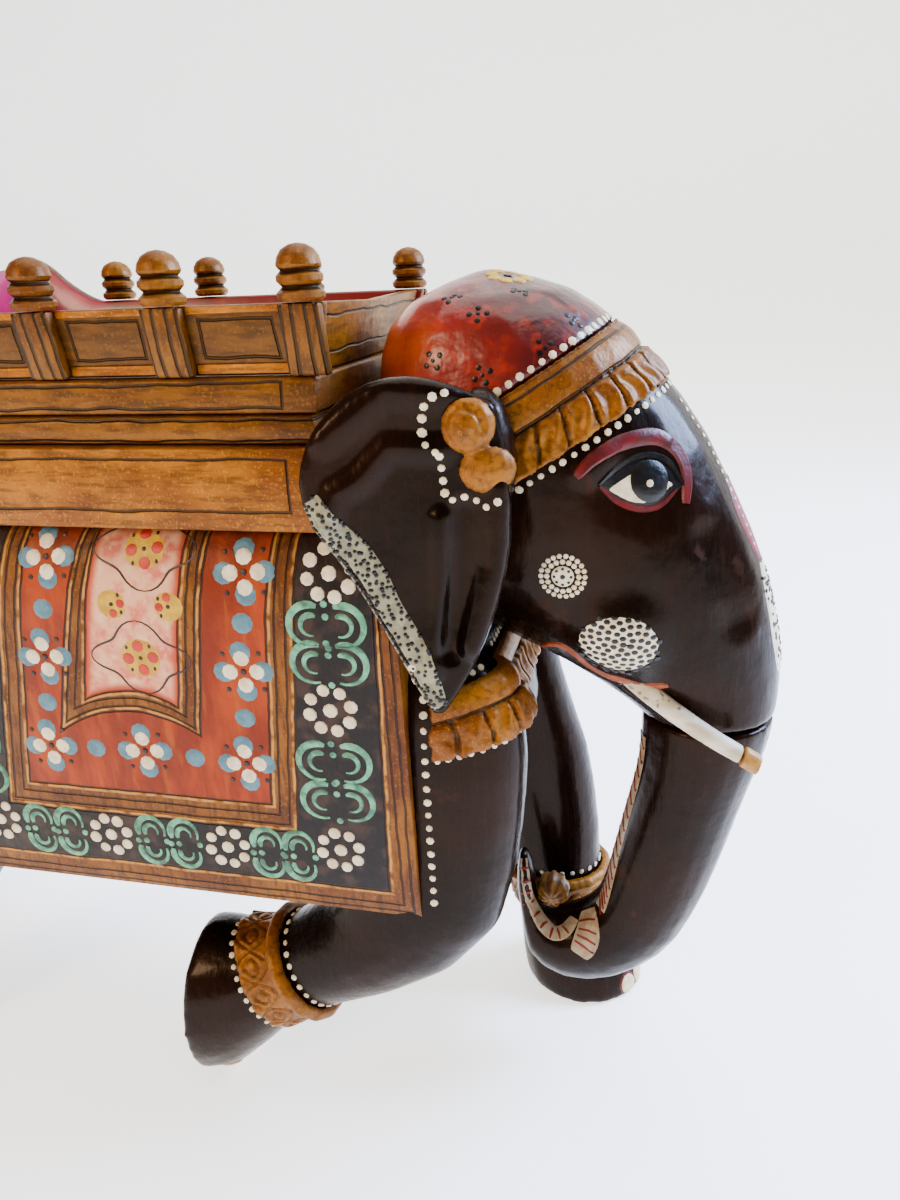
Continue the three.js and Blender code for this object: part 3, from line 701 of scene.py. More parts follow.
def carve_ear(node, side):
    """An ear with a hollow, a rolled rim and two folds."""
    ear = carved(node, 0.8, 8)
    inward, out = Vector((0, -side, 0)), Vector((0, side, 0))
    hollow = [(96, side * 58, 240), (92, side * 59, 222), (98, side * 58, 204)]
    ridge = [(105, side * 55, 246), (92, side * 58, 247), (84, side * 60, 239), (78, side * 61, 236),
             (75, side * 62, 228)]
    rim = [(76, side * 61, 250), (92, side * 58, 262), (106, side * 54, 260)]
    front = [(120, side * 50, 236), (118.5, side * 51, 214), (112, side * 53, 192)]
    groove = [(110, side * 54, 230), (109, side * 55, 212), (105, side * 56, 190)]
    fold = [(104, side * 55, 228), (103, side * 56, 208), (101, side * 57, 184)]
    for path, radius, amount, way in ((hollow, 18, 1.3, inward), (ridge, 5.2, 1.7, out), (rim, 6, 1.6, out),
                                      (front, 7, 3.0, out), (groove, 5, 1.8, inward), (fold, 4, 1.2, out)):
        push(ear, path, radius, amount, way)
    carved_piece(node, ear, "lacquer")


# ------------------------------------------------------------------ dress
def tabs(low, split, high, tilt, middle, pitch, sink=0.0):
    """The relief of a band: a smooth roll above the split, and below it a row of carved tabs with sunk
    gaps between them, which the gold darkens as painted shade. The levels are heights along the leaning axis,
    and the middle is its x."""

    def height_at(x, y, z, normal):
        level = z * math.cos(tilt) - x * math.sin(tilt)
        outward = Vector((x - middle, y, 0))
        if normal.dot(outward.normalized()) < 0.2 or outward.length < 4:
            return 0.0
        if level > split:
            share = (level - split) / (high - split)
            return math.sin(math.pi * min(1.0, share)) ** 0.7 - 0.25 - sink
        turn = math.atan2(y, x - middle) * outward.length / pitch
        across = (turn % 1) - 0.5
        share = max(0.0, (level - low) / (split - low))
        gap = max(0.0, abs(across) * 2 - 0.8) * 6
        fold = 0.55 * math.sin(3 * math.pi * (across + 0.16 * math.sin(5 * share + math.floor(turn))))
        under = max(0.0, share - 0.86) * 7
        return (0.75 - sink - 1.6 * min(1.0, gap + under)
                + fold * math.sin(math.pi * min(1.0, 0.2 + share * 0.8)))
    return height_at


def dress_head(settings):
    """Turban, headband, ear bosses, collar, anklets and the ball in the trunk."""
    carved_piece("turban", carved("turban", 1.1, 24), "turban")
    for node, shape in (("headband", tabs(133.6, 145, 155, BAND_TILT, 128, 9.5, 0.5)),
                        ("collar", tabs(123.5, 134.5, 142.5, COLLAR_TILT, 92, 10.5))):
        bm = carved(node, 0.65, 5)
        relief(bm, shape)
        carved_piece(node, bm, node)
    for hand, side in HANDS:
        carve_boss(f"ear_boss_{hand}", side)
    for node, (centre, axis) in ANKLETS.items():
        carve_anklet(node, centre, Vector(axis).normalized())
    ball = carved("trunk_ball", 0.5, 8)
    ball_x, ball_z, ribs = 127, 70.6, 9
    relief(ball, lambda x, y, z, normal: 0.35 * math.sin(math.atan2(z - ball_z, x - ball_x) * ribs) - 0.2)
    finished("ball_carved", ball, [MATERIALS["ball"]], ["trunk_ball"], math.pi)


def carve_boss(node, side):
    """A boss with a spiral groove and a raised middle."""
    bm = carved(node, 0.5, 5)
    swirl = []
    for i in range(30):
        angle, reach = i * 0.42, 5.2 - i * 0.15
        swirl.append((111 + reach * math.cos(angle), side * 55.2, 252 + reach * math.sin(angle)))
    push(bm, swirl, 1.9, -0.8)
    push(bm, [(111, side * 55, 252)], 2.6, 0.8)
    carved_piece(node, bm, "dress")


# Middle and direction of each anklet, towards the knee.
ANKLETS = {
    "anklet_fore_right": ((36, -36, 54), (0.86, 0, 0.51)),
    "anklet_fore_left": ((125, 36, 51), (0.03, 0, 1)),
    "anklet_hind_right": ((-120, -36, 48), (0.48, 0, 0.88)),
    "anklet_hind_left": ((-141, 36, 54), (0.86, 0, 0.51)),
}


def carve_anklet(node, centre, axis):
    """A band of incised leaves with a rounded ring on the leg's side."""

    def height_at(x, y, z, normal):
        off = Vector((x, y, z)) - Vector(centre)
        level = off.dot(axis)
        outward = off - axis * level
        if normal.dot(outward.normalized()) < 0.2:
            return 0.0
        if level > 3.4:
            return 2.0 * math.sin(math.pi * min(1.0, (level - 3.4) / 5.6))
        across = axis.cross(Vector((0, 1, 0)))
        turn = math.atan2(outward.dot(Vector((0, 1, 0))), outward.dot(across)) * outward.length
        leaf = abs(math.sin(math.pi * turn / 11)) - abs(level + 3.2) / 6
        groove = math.exp(-(leaf / 0.13) ** 2) + math.exp(-((leaf - 0.6) / 0.12) ** 2)
        return 0.15 - 0.75 * min(1.0, groove)

    bm = carved(node, 0.65, 5)
    relief(bm, height_at)
    carved_piece(node, bm, "dress")


# ------------------------------------------------------------------ blanket
def cloth(u, z):
    """The x of a place in the blanket's painted drawing, whose lines lean forward."""
    return u * (1 - 0.00095 * (z - 120)) + 0.13 * (z - 120)


def lay_blanket(settings):
    """The carved blanket and the paintwork of its two flanks."""
    bm = eased("blanket", width=0.7)
    SURFACES["blanket"] = bm.copy()
    finished("blanket_carved", bm, [MATERIALS["blanket"]], ["blanket"], math.radians(50))
    paints = [MATERIALS[name] for name in ("cream", "blue_grey", "dark", "mint", "red", "yellow")]
    for hand, side in HANDS:
        brush = Brush("blanket")
        paint_blanket(brush, side)
        brush.piece(f"blanket_paintwork_{hand}", paints, "blanket_paint")


CREAM, BLUE, DARK, MINT, RED, YELLOW = range(6)  # places in the blanket's paints


def paint_blanket(brush, side):
    """Flowers, rosettes, scrolls and the lattice of one flank."""

    put, line = placer(brush, side)

    def hook(points, width):
        """A stroke that starts thick and runs out to a point."""
        spots = brush.cast_all(points, side)
        last = len(spots) - 1
        if last > 1:
            widths = [width * (1 - 0.72 * (i / last) ** 1.5) * min(1, 0.5 + i / 3) for i in range(last + 1)]
            brush.stroke(spots, widths, 0.22, MINT)

    def flower(x, z):
        for i in range(4):
            angle = math.pi / 2 * i + 0.06
            c, s = math.cos(angle), math.sin(angle)
            put(x + 6.4 * c, z + 6.4 * s, 3.6, 0.16, BLUE)
            put(x + 4.4 * c, z + 4.4 * s, 2.7, 0.34, CREAM)
            put(x + 6.1 * (c - s) / 1.05, z + 6.1 * (s + c) / 1.05, 0.9, 0.3, DARK, sides=6)
        put(x, z, 1.1, 0.4, DARK, sides=7)

    def rosette(x, z, size=1.0):
        put(x, z, 2.6 * size, 0.45, CREAM)
        for i in range(8):
            angle = math.tau * i / 8 + 0.25
            put(x + 7.3 * size * math.cos(angle), z + 7.3 * size * math.sin(angle),
                random.uniform(2.2, 2.6) * size, 0.45, CREAM)

    def scroll(x, z, turn, wide=11.5, tall=6.2):
        """Two facing pairs of nested hooks."""
        def local(a, b):
            c, s = math.cos(turn), math.sin(turn)
            return x + a * c - b * s, z + a * s + b * c

        for flip in (-1, 1):
            for reach, thick, start, end, shift in ((1.0, 2.9, 68, 288, 0.0), (0.5, 2.2, 62, 285, 0.4)):
                points = []
                for i in range(15):
                    angle = math.radians(start + (end - start) * i / 14)
                    out = shift - wide * 0.42 + math.cos(angle) * wide * 0.55 * reach
                    points.append(local(flip * out * 1.02, math.sin(angle) * tall * reach))
                hook(points, thick)
        for a, b in ((0, tall * 0.45), (0.3, -tall * 1.08), (-0.3, tall * 1.05)):
            put(*local(a, b), 1.2, 0.22, MINT, sides=7)

    for u, z in ((36, 148.5), (0, 150), (-35, 149), (36, 180), (36, 210.5), (-35.5, 181), (-35.5, 213)):
        flower(cloth(u, z), z)
    for u, z in ((18, 149), (-18, 149.5), (36, 164.5), (36, 195.5), (-35.5, 165), (-35.5, 197)):
        put(cloth(u, z), z, 3.4, 0.2, BLUE, sides=10, stretch=1.05)
    corners = [(67, 120), (28, 116.5), (-14.5, 116.5), (-57, 118)]
    for x, z in corners:
        rosette(x, z, 0.86)
    for x, z in ((68, 169), (70.5, 211), (-64, 165), (-60, 208)):
        rosette(x, z, 0.92)
    for start, end in zip(corners, corners[1:]):
        for share in (0.36, 0.64):
            scroll(start[0] + (end[0] - start[0]) * share, 115.8, math.pi / 2, 9.2, 4.9)
    for x, low, high in ((67.5, 120, 169), (69, 169, 211), (-62, 118, 165), (-62, 165, 208)):
        for share in (0.36, 0.64):
            scroll(x, low + (high - low) * share, 0)
    paint_panel(put, line)


def paint_panel(put, line):
    """The pink panel's lattice, with yellow glows, red dots and black ticks."""
    for row, z in enumerate((182.5, 199.5, 216)):
        across, size = ((-15, 15), 0.72) if row == 1 else ((0,), 1.0)
        for off in across:
            x = cloth(-1.5 + off * 0.68, z) + 1.5
            put(x, z, 6.9 * size, 0.08, YELLOW, sides=12, stretch=1.05)
            for i in range(4):
                angle = math.pi / 2 * i + 0.1
                a, b = math.cos(angle), math.sin(angle)
                if a * off > 1:
                    continue
                put(x + 4.2 * a * size, z + 3.9 * b * size, 2.1 * size, 0.3, RED)
                put(x + 3.9 * (a - b) * size, z + 3.7 * (b + a) * size, 0.8, 0.25, DARK, sides=6, stretch=0.7)
            put(x, z, 0.8, 0.3, DARK, sides=6)
    for z in (182.5, 216):
        x = cloth(-1.5, z) + 1.5
        outline = []
        for i in range(49):
            angle = math.tau * i / 48
            reach = 1 + 0.16 * math.cos(4 * angle) + 0.1 * abs(math.sin(angle)) ** 8
            outline.append((x + 14.5 * reach * math.cos(angle), z + 9.6 * reach * math.sin(angle)))
        for k in range(4):
            line(outline[k * 12 : k * 12 + 13], 0.9, 0.14, DARK)


# ------------------------------------------------------------------ howdah
RAIL_LOW, RAIL_LEAN, RAIL_FOOT = 265, 0.218, 48.3  # foot, lean and outer face of the side rails


def build_howdah(settings):
    """Plinth, moulding, tray, rails, posts and finials."""
    for node, width in (("howdah_plinth", 1.0), ("howdah_moulding", 0.5), ("howdah_tray", 1.0)):
        finished(f"{node}_carved", eased(node, width=width), [MATERIALS[node]], [node])
    for node, material, inner in (("rail_right", "side_rail", (0, 1)), ("rail_left", "side_rail", (0, -1)),
                                  ("rail_front", "front_rail", (-1, 0)), ("backrest", "side_rail", (1, 0))):
        bm = eased(node, width=0.8)
        bm.normal_update()
        for face in bm.faces:
            face.material_index = int(face.normal.xy.dot(inner) > 0.5)
        finished(f"{node}_carved", bm, [MATERIALS[material], MATERIALS["inside"]], [node])
    posts = [f"post_{hand}_{i}" for hand in ("right", "left") for i in range(1, 5)]
    finished("posts_carved", eased(*posts, width=0.9), [MATERIALS["post"]], posts)
    build_finials()
    build_ledges()


def build_ledges():
    """A narrow step along the foot of each rail panel, and a lip along its top."""
    for hand, side in HANDS:
        bm = bmesh.new()
        for start, end in zip(POST_XS[1:], POST_XS):
            for low, high, proud in ((265.6, 268.2, 1.6), (281.3, 283.1, 0.9)):
                verts = []
                for z, out in ((low, 0.0), (low, proud), (high, proud * 0.6), (high, 0.0)):
                    y = RAIL_FOOT + RAIL_LEAN * (z - RAIL_LOW) - 0.4 + out
                    verts.append([bm.verts.new(at(x, side * y, z)) for x in (start + 5.9, end - 5.9)])
                for a, b in zip(verts, [*verts[1:], verts[0]]):
                    bm.faces.new((a[0], a[1], b[1], b[0]))
                bm.faces.new([v[0] for v in verts])
                bm.faces.new([v[1] for v in reversed(verts)])
        bmesh.ops.bevel(bm, geom=bm.edges[:], offset=0.35 * MM, segments=2, profile=0.5, affect="EDGES",
                        material=-1)
        finished(f"ledges_{hand}", bm, [MATERIALS["ledge"]])


def build_finials():
    """Eight turned finials with bullet tops."""
    profile = [(0, 0), (5.2, 0), (6.1, 0.9), (6.2, 2.1), (5.2, 3.0), (4.7, 3.6), (5.3, 4.2), (6.0, 5.0),
               (6.0, 6.2), (5.2, 7.0), (4.8, 7.5), (5.4, 8.0), (5.8, 8.8), (5.4, 10.6), (4.2, 12.4),
               (2.2, 13.5), (0, 13.9)]
    for hand, _ in HANDS:
        bm = bmesh.new()
        names = [f"finial_{hand}_{i}" for i in range(1, 5)]
        for name in names:
            low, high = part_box(name)
            foot = Vector(((low.x + high.x) / 2, (low.y + high.y) / 2, low.z))
            verts = [bm.verts.new(foot + Vector((r * MM, 0, h * MM))) for r, h in profile]
            edges = [bm.edges.new(pair) for pair in zip(verts, verts[1:])]
            bmesh.ops.spin(bm, geom=[*verts, *edges], cent=foot, axis=(0, 0, 1), angle=math.tau,
                           steps=28, use_merge=True)
        bmesh.ops.remove_doubles(bm, verts=bm.verts, dist=1e-6)
        finished(f"finials_{hand}", bm, [MATERIALS["finial"]], names)


# ------------------------------------------------------------------ painted marks on the animal
WHITE, BLACK, BROW, LIP, PINK = range(5)  # places in the head's paints


def paint_marks(settings):
    """Eyes, brows, rosettes, dotted edges, speckled ears and toenails."""
    brush = Brush("head")
    for side in (RIGHT, LEFT):
        paint_eye(brush, side)
        paint_cheek(brush, side)
    paint_forehead(brush)
    brush.piece("head_paintwork", [MATERIALS[k] for k in ("cream", "black", "brow", "lip", "pink")],
                "ivory_paint")
    paint_turban()
    for hand, side in HANDS:
        paint_ear(hand, side)
    paint_trunk()
    paint_edges()
    paint_nails()


def placer(brush, side):
    """A function that puts a dot at an x and z, and one that lays a line, on one flank."""

    def put(x, z, radius, height, material, **kind):
        place, _ = brush.cast(x, z, side)
        if place:
            brush.dot(place, radius, height, material, **kind)

    def line(points, width, height, material, ends=0.35):
        spots = brush.cast_all(points, side)
        if len(spots) > 2:
            brush.stroke(spots, swelling(len(spots), width, ends), height, material)

    return put, line


def smooth_flat(points, steps=6):
    """A curve through x, z pairs, as x, z pairs."""
    dense = smooth_path([(x, 0, z) for x, z in points], steps)
    return [((p.x - CENTRE_X) / MM, p.z / MM + SOLE_Z) for p in dense]


def paint_eye(brush, side):
    """An almond eye with a thick dark-red brow that hooks down in front of it."""
    put, line = placer(brush, side)
    lower_lid = [(143.8, 232), (148.4, 227.6), (154.4, 225), (160, 225.2), (164.6, 229)]
    upper_lid = [(143.6, 232.4), (148.4, 236.6), (155, 239.2), (161.8, 237), (166.4, 230)]
    brow = [(137.5, 235), (142, 239.5), (149.5, 243.2), (158, 243.8), (164, 240), (167.2, 233.5),
            (167.4, 225)]
    put(155.8, 231.6, 7.3, 0.25, BLACK, sides=28, stretch=1.85, pinch=0.6)
    put(155.4, 230.8, 4.9, 0.45, WHITE, sides=28, stretch=2.15, pinch=0.66)
    line(smooth_flat(lower_lid), 2.2, 0.6, BROW)
    put(157.2, 232.2, 6.5, 0.75, BLACK, sides=22)
    # A white dot on the iris: a painted highlight.
    put(157, 231.6, 1.2, 1.05, WHITE, sides=8)
    line(smooth_flat(upper_lid), 2.0, 0.6, BLACK)
    line(smooth_flat(brow), 5.0, 0.5, BROW, 0.5)


def paint_cheek(brush, side):
    """A rosette of white dots, a white patch speckled with black below it, and the orange lip."""
    put, line = placer(brush, side)
    x, z = 134, 206
    put(x, z, 3.4, 0.3, WHITE, sides=16)
    put(x, z, 0.9, 0.5, BLACK, sides=7)
    for ring, count, size, paint in ((2.4, 8, 0.6, BLACK), (4.6, 16, 0.9, WHITE), (6.3, 22, 0.85, WHITE)):
        for i in range(count):
            angle = math.tau * i / count
            put(x + ring * math.cos(angle), z + ring * math.sin(angle), size, 0.35, paint, sides=6)
    x, z, speckles, golden_angle = 150, 184, 84, 2.39996
    put(x, z, 11.6, 0.3, WHITE, sides=28, stretch=1.18, turn=-0.2 * side)
    for i in range(speckles):
        reach = 10.7 * math.sqrt((i + 0.5) / speckles)
        angle = i * golden_angle
        put(x + 1.15 * reach * math.cos(angle), z + reach * math.sin(angle), 0.9, 0.45, BLACK,
            sides=6, stretch=1.3)
    lip = [(126, 178), (131, 181), (136, 179), (140.5, 173.4), (146, 170), (153, 168.6), (160, 168.4),
           (165, 169.4)]
    line(smooth_flat(lip), 4.4, 0.5, LIP)


def paint_forehead(brush):
    """A pink patch, a cream band with black dots down the front, and two rows of white dots."""
    for points, widest, material in (
        ([(181, 0, 228), (186, 0, 216), (191.5, 0, 204)], 17, PINK),
        ([(192.5, 0, 203), (197, 0, 190), (199, 0, 178), (199.5, 0, 168)], 21, WHITE),
    ):
        path = smooth_path(points, 5)
        widths = swelling(len(path), widest, 0.6)
        for share in (-0.4, -0.2, 0, 0.2, 0.4):
            strip = [p + Vector((0, share * w * MM, 0)) for p, w in zip(path, widths)]
            brush.stroke(strip, [w * 0.3 for w in widths], 0.25, material)
    for _ in range(90):
        share = random.random()
        point = at(193.5 + 6 * share, random.uniform(-9, 9), 201 - 32 * share)
        brush.dot(point, random.uniform(0.6, 0.9), 0.5, BLACK, sides=5)
    for y in (-6, 6):
        path = smooth_path([(166, y, 252), (176, y, 236), (184, y, 221), (190, y, 207)], 6)
        brush.beads(path, 3.0, 0.7, 0.3, WHITE)


def paint_turban():
    """Black five-dot flowers and a yellow flower on the crown."""
    brush = Brush("turban")
    black, yellow = range(2)
    for x, y, z in ((120, -18, 282), (136, -20, 276), (110, -24, 276), (128, -27, 268), (144, -22, 268),
                    (102, -20, 280), (150, -8, 272), (98, -30, 266), (112, -31, 262), (128, 12, 284),
                    (112, 22, 280), (140, 20, 272), (100, 30, 266)):
        for i in range(4):
            angle = math.tau * i / 4 + x
            brush.dot(at(x + 2.3 * math.cos(angle), y, z + 2.3 * math.sin(angle)), 0.95, 0.25, black, sides=6)
        brush.dot(at(x, y, z), 0.7, 0.25, black, sides=6)
    x, y, z = 116, -8, 290
    for i in range(8):
        angle = math.tau * i / 8
        brush.dot(at(x + 5.5 * math.cos(angle), y + 5.5 * math.sin(angle), z), 2.2, 0.3, yellow, sides=8)
    brush.dot(at(x, y, z), 1.8, 0.4, black, sides=8)
    brush.piece("turban_paintwork", [MATERIALS["black"], MATERIALS["yellow"]], "red_lacquer")


def paint_ear(hand, side):
    """A pale rear edge speckled with black."""
    brush = Brush(f"ear_{hand}")
    pale, black = range(2)
    edge = [(68.5, 233), (73, 223.9), (77.8, 217), (81.7, 208.8), (85, 200.5), (91.2, 189.2), (96.6, 177.5),
            (100, 172.5)]
    rim = [at(x, side * (49.5 + 0.28 * (114 - x) + 0.03 * (250 - z) + 2), z) for x, z in smooth_flat(edge, 8)]
    inward = Vector((0.85, 0, 0.5)) * MM
    last = len(rim) - 1
    widths = [3 + 8 * math.sin(math.pi * min(0.94, 0.1 + 0.86 * i / last)) ** 0.7 for i in range(last + 1)]
    for share in (0.2, 0.5, 0.8):
        middle = [p + inward * w * (share - 0.06) for p, w in zip(rim, widths)]
        brush.stroke(middle, [w * 0.42 for w in widths], 0.22, pale)
    for p, w in zip(rim, widths):
        count = max(1, int(w / 2.2))
        for k in range(count):
            off = inward * (w * (k + random.uniform(0.1, 0.8)) / count)
            jitter = Vector((random.uniform(-0.4, 0.4), 0, random.uniform(-0.6, 0.6))) * MM
            brush.dot(p + off + jitter, random.uniform(0.5, 0.8), 0.5, black, sides=6)
    brush.piece(f"ear_paintwork_{hand}", [MATERIALS["speckle"], MATERIALS["black"]], "ivory_paint")


def paint_trunk():
    """The pale underside of the trunk, with red stripes, and its lobes at the ball."""
    brush = Brush("trunk")
    pale, stripe = range(2)
    inner = smooth_path([(158, -4, 141), (152, -5, 120), (148.5, -5, 98), (146.5, -6, 80), (143, -8, 71)], 8)
    brush.stroke(inner, [7.5] * len(inner), 0.3, pale)
    for i in range(1, len(inner) - 1, 2):
        across = [inner[i] + Vector((0, y, y * 0.6)) * MM for y in (-3.4, 0, 3.4)]
        brush.stroke(across, [1.0] * 3, 0.5, stripe)
    curl = [(116.6, 85), (117.8, 77), (119.4, 70), (122.6, 62.5), (127.5, 58), (132, 58.8), (135.5, 62.5)]
    lobe = [(140.6, 66.5), (141, 62), (140, 57.5), (138, 53)]
    for drawn, widest, narrow in ((curl, 6.0, 0.75), (lobe, 10.5, 0.7)):
        spots = brush.cast_all(smooth_flat(drawn, 5), RIGHT)
        brush.stroke(spots, swelling(len(spots), widest, narrow), 0.35, pale)
        for a, b in list(zip(spots, spots[1:]))[2:-2:3]:
            across = (b - a).cross(Vector((0, 1, 0))).normalized() * widest * 0.4 * MM
            brush.stroke([a + across * off for off in (-1, 0, 1)], [0.9, 1.3, 0.9], 0.5, stripe)
    brush.piece("trunk_paintwork", [MATERIALS["pale"], MATERIALS["stripe"]], "ivory_paint")


def paint_edges():
    """Rows of white dots beside the headband, bosses, collar, anklets and blanket."""
    crown = Brush("head", "turban")
    neck = Brush("torso", "foreleg_right", "foreleg_left")
    for ground, tilt, x, level, radius, half_turn in (
        (crown, BAND_TILT, 128, 157.2, 1.25, 118), (crown, BAND_TILT, 128, 131.6, 1.1, 118),
        (neck, COLLAR_TILT, 105, 144.0, 1.1, 97), (neck, COLLAR_TILT, 105, 121.8, 1.1, 97),
    ):
        axis = Vector((-math.sin(tilt), 0, math.cos(tilt)))
        z = (level + x * math.sin(tilt)) / math.cos(tilt)
        ground.beads(ground.ring((x, 0, z), axis, -half_turn, half_turn, 70), 3.6, radius)
    cream = [MATERIALS["cream"]]
    crown.piece("crown_dots", cream, "ivory_paint")
    neck.piece("collar_dots", cream, "ivory_paint")
    brush = Brush("head", "turban", "torso", "foreleg_right", "foreleg_left", "hindleg_right", "hindleg_left",
                  "ear_right", "ear_left")
    for side in (RIGHT, LEFT):
        ringed = [(111 - 9.6 * math.cos(a * 0.2), side * 60, 252.2 + 9.6 * math.sin(a * 0.2))
                  for a in range(-4, 9)]
        below = [(105.2, side * 60, 243), (106, side * 60, 238), (106.8, side * 60, 233.4),
                 (111, side * 60, 231.4), (116, side * 57, 231.6), (120.5, side * 52, 233)]
        for path in (ringed, below):
            brush.beads([brush.snap(p)[0] for p in smooth_path(path, 4)], 3.4, 1.15)
        front = smooth_flat([(94.8, 186), (95, 160), (95.3, 130), (95.6, 101)], 10)
        brush.beads(brush.cast_all(front, side), 4.7, 1.2)
    brush.piece("white_dots", cream, "ivory_paint")
    for node, (centre, axis) in ANKLETS.items():
        end, hand = node.split("_")[1:]
        leg = Brush(f"{end}leg_{hand}")
        unit = Vector(axis).normalized()
        for off in (-11, 11):
            spots = leg.ring(Vector(centre) + unit * off, unit, 0, 360, 60, 32)
            leg.beads(spots, 4.0, 1.1)
        leg.piece(f"dots_{node}", cream, "ivory_paint")


def paint_nails():
    """Cream toenails with a red outline on the four feet."""
    nail, outline = range(2)
    flat, raised = (5.2, 4.2, 16, 6, 0.35), (4.6, 3.7, 15, 5, 0.0)
    for node, x, y, z, (wide, narrow, far, near, curve) in (
        ("foreleg_left", 166, 36, 10, flat), ("hindleg_right", -104, -36, 10, flat),
        ("foreleg_right", 14, -36, 2, raised), ("hindleg_left", -164, 36, 2, raised),
    ):
        brush = Brush(node)
        for spread in (-far, -near, near, far):
            point = at(x - abs(spread) * curve, y + spread, z)
            brush.dot(point, wide, 0.3, outline, sides=14)
            brush.dot(point, narrow, 0.8, nail, sides=14)
        brush.piece(f"nails_{node}", [MATERIALS["nail"], MATERIALS["brow"]], "ivory_paint")


# ------------------------------------------------------------------ stage
def sweep_floor():
    """A pale paper floor that sweeps up behind."""
    bm = bmesh.new()
    profile = [(-4, 0), (2.2, 0), (2.7, 0.06), (3.1, 0.3), (3.4, 0.8), (3.5, 4)]
    half_width = 6
    verts = [bm.verts.new((-half_width, y, z)) for y, z in profile]
    edges = [bm.edges.new(pair) for pair in zip(verts, verts[1:])]
    made = bmesh.ops.extrude_edge_only(bm, edges=edges)
    for vert in made["geom"]:
        if isinstance(vert, bmesh.types.BMVert):
            vert.co.x = half_width
    mesh = bpy.data.meshes.new("floor")
    for face in bm.faces:
        face.smooth = True
    bmesh.ops.recalc_face_normals(bm, faces=bm.faces)
    bm.to_mesh(mesh)
    bm.free()
    floor = bpy.data.objects.new("floor", mesh)
    bpy.context.scene.collection.objects.link(floor)
    s = Shader("floor_paper")
    shade = s.noise(900.0, 2.0)
    paper = s.mix(shade, "#fbfaf8", "#f6f5f3")
    mesh.materials.append(s.finish(paper, 0.8 + shade * 0.1, s.noise(40.0), 0.02,
                                   Emission_Color=paper, Emission_Strength=1.8))


def hang_lamps(strength):
    """A dim warm room, a large lamp overhead, a small warm key and a cool lamp from the front."""
    world = bpy.data.worlds.new("studio")
    world.use_nodes = True
    room = world.node_tree.nodes["Background"]
    room.inputs["Color"].default_value = tint("#fbf7f2")
    room.inputs["Strength"].default_value = 0.22
    bpy.context.scene.world = world
    aim = at(60, 0, 160)
    for name, place, size, power, colour in (
        ("overhead", (0.2, 0.4, 2.6), 2.6, 95, "#fffaf4"),
        ("key", (-0.8, -1.2, 0.9), 0.5, 22, "#ffe0b8"),
        ("rim", (0.95, 0.35, 0.75), 0.5, 60, "#a8c8ff"),
    ):
        light = bpy.data.lights.new(name, "AREA")
        light.size = size
        light.energy = power * strength
        light.color = tint(colour)[:3]
        lamp = bpy.data.objects.new(name, light)
        lamp.location = place
        lamp.rotation_euler = (aim - Vector(place)).to_track_quat("-Z", "Y").to_euler()
        bpy.context.scene.collection.objects.link(lamp)


def set_camera(settings):
    """A camera near the right shoulder that looks down on the head."""
    data = bpy.data.cameras.new("camera")
    data.lens = settings.focal_length
    data.sensor_width = 36
    data.clip_start = 0.02
    camera = bpy.data.objects.new("camera", data)
    turn = Matrix.Rotation(settings.yaw, 4, "Z") @ Matrix.Rotation(math.pi / 2 - settings.pitch, 4, "X")
    place = Matrix.Translation(at(160, -278.1, 290.2))
    camera.matrix_world = place @ turn @ Matrix.Rotation(settings.roll, 4, "Z")
    bpy.context.scene.collection.objects.link(camera)
    bpy.context.scene.camera = camera


def set_stage(settings):
    """Floor, lamps and camera."""
    sweep_floor()
    hang_lamps(settings.lamp_strength)
    set_camera(settings)


# ------------------------------------------------------------------ add-on
class ElephantSettings(bpy.types.PropertyGroup):
    """What can be changed before the elephant is built."""

    seed: bpy.props.IntProperty(
        name="Seed", description="Seed of the brush marks' irregularity", default=7)
    lamp_strength: bpy.props.FloatProperty(
        name="Lamp strength", description="Multiplies the power of the lamps", default=1.0)
    focal_length: bpy.props.FloatProperty(
        name="Focal length", description="The camera's focal length in millimetres", default=27.0)
    yaw: bpy.props.FloatProperty(
        name="Yaw", description="Turn of the camera towards the tail", default=math.radians(13.7),
        subtype="ANGLE", unit="ROTATION")
    pitch: bpy.props.FloatProperty(
        name="Pitch", description="Downward tilt of the camera", default=math.radians(20.3),
        subtype="ANGLE", unit="ROTATION")
    roll: bpy.props.FloatProperty(
        name="Roll", description="Roll of the camera", default=math.radians(-2.5),
        subtype="ANGLE", unit="ROTATION")


def run(make, context):
    """Runs one step with its own seeded random numbers."""
    settings = context.scene.elephant_settings
    random.seed(settings.seed)
    make(settings)
    return {"FINISHED"}


class ELEPHANT_OT_materials(bpy.types.Operator):
    """Make the paints and finishes"""

    bl_idname = "elephant.materials"
    bl_label = "Mix Materials"

    def execute(self, context):
        return run(mix_materials, context)


class ELEPHANT_OT_body(bpy.types.Operator):
    """Carve the torso, the legs and the tail"""

    bl_idname = "elephant.body"
    bl_label = "Carve Body"

    def execute(self, context):
        return run(carve_body, context)


class ELEPHANT_OT_head(bpy.types.Operator):
    """Carve the head, the trunk, the ears and the tusks"""

    bl_idname = "elephant.head"
    bl_label = "Carve Head"

    def execute(self, context):
        return run(carve_head, context)


class ELEPHANT_OT_dress(bpy.types.Operator):
    """Carve the turban, the bands, the collar and the anklets"""

    bl_idname = "elephant.dress"
    bl_label = "Add Dress"

    def execute(self, context):
        return run(dress_head, context)


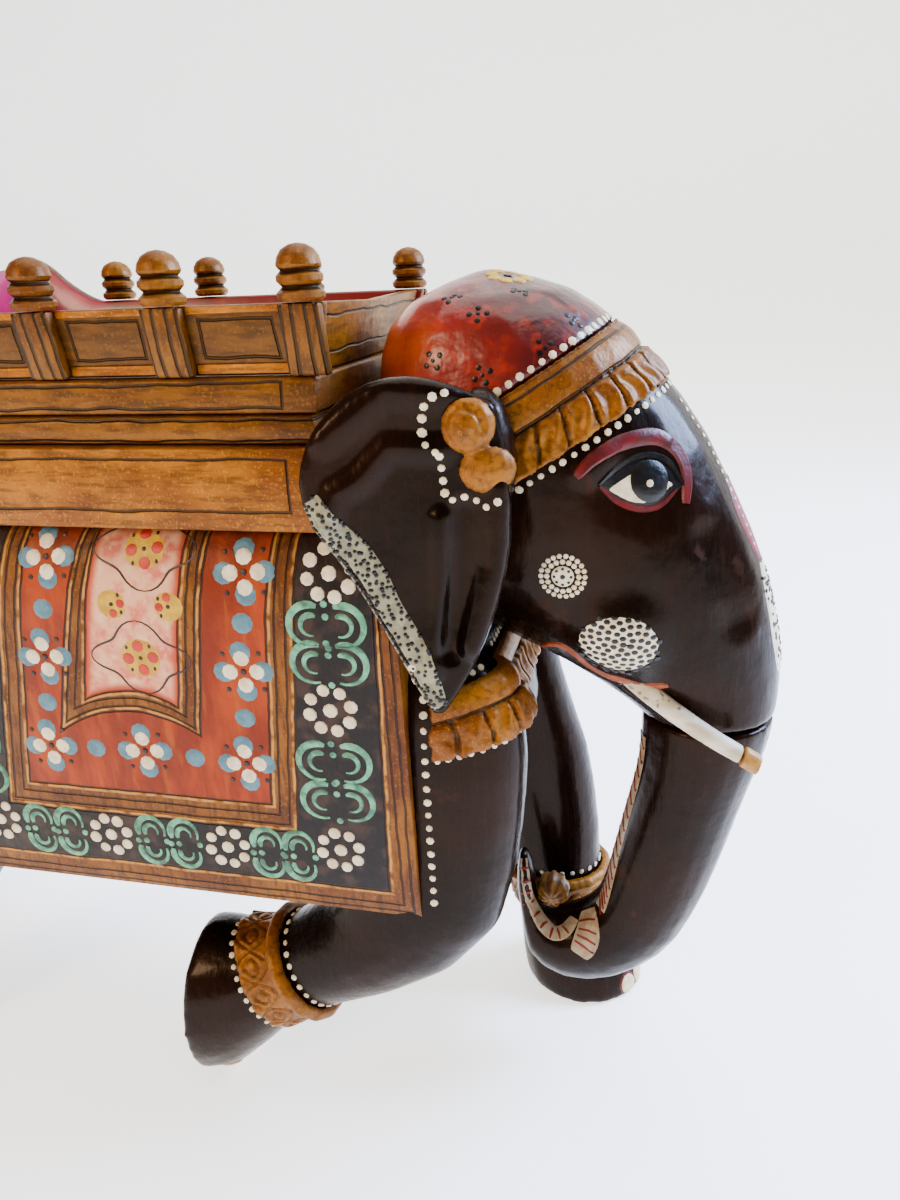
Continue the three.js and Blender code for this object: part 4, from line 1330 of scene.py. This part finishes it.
class ELEPHANT_OT_blanket(bpy.types.Operator):
    """Lay the painted blanket"""

    bl_idname = "elephant.blanket"
    bl_label = "Lay Blanket"

    def execute(self, context):
        return run(lay_blanket, context)


class ELEPHANT_OT_howdah(bpy.types.Operator):
    """Build the howdah with its posts and finials"""

    bl_idname = "elephant.howdah"
    bl_label = "Build Howdah"

    def execute(self, context):
        return run(build_howdah, context)


class ELEPHANT_OT_marks(bpy.types.Operator):
    """Paint the eyes, the ears and the dotted edges"""

    bl_idname = "elephant.marks"
    bl_label = "Paint Marks"

    def execute(self, context):
        return run(paint_marks, context)


class ELEPHANT_OT_stage(bpy.types.Operator):
    """Set the floor, the lamps and the camera"""

    bl_idname = "elephant.stage"
    bl_label = "Set Stage"

    def execute(self, context):
        return run(set_stage, context)


STEPS = ("materials", "body", "head", "dress", "blanket", "howdah", "marks", "stage")


class ELEPHANT_PT_sidebar(bpy.types.Panel):
    """Builds the elephant step by step"""

    bl_idname = "ELEPHANT_PT_sidebar"
    bl_label = "Carved Elephant"
    bl_space_type = "VIEW_3D"
    bl_region_type = "UI"
    bl_category = "Elephant"

    def draw(self, context):
        settings = context.scene.elephant_settings
        for name in ("seed", "lamp_strength", "focal_length", "yaw", "pitch", "roll"):
            self.layout.prop(settings, name)
        for step in STEPS:
            self.layout.operator(f"elephant.{step}")


CLASSES = (
    ElephantSettings, ELEPHANT_OT_materials, ELEPHANT_OT_body, ELEPHANT_OT_head, ELEPHANT_OT_dress,
    ELEPHANT_OT_blanket, ELEPHANT_OT_howdah, ELEPHANT_OT_marks, ELEPHANT_OT_stage, ELEPHANT_PT_sidebar,
)


def register():
    """Adds the settings, the operators and the panel."""
    for cls in CLASSES:
        bpy.utils.register_class(cls)
    bpy.types.Scene.elephant_settings = bpy.props.PointerProperty(type=ElephantSettings)


def unregister():
    """Takes them away again."""
    del bpy.types.Scene.elephant_settings
    for cls in reversed(CLASSES):
        bpy.utils.unregister_class(cls)


def main():
    """Builds the whole elephant."""
    register()
    for step in STEPS:
        getattr(bpy.ops.elephant, step)()


if __name__ == "__main__":
    main()
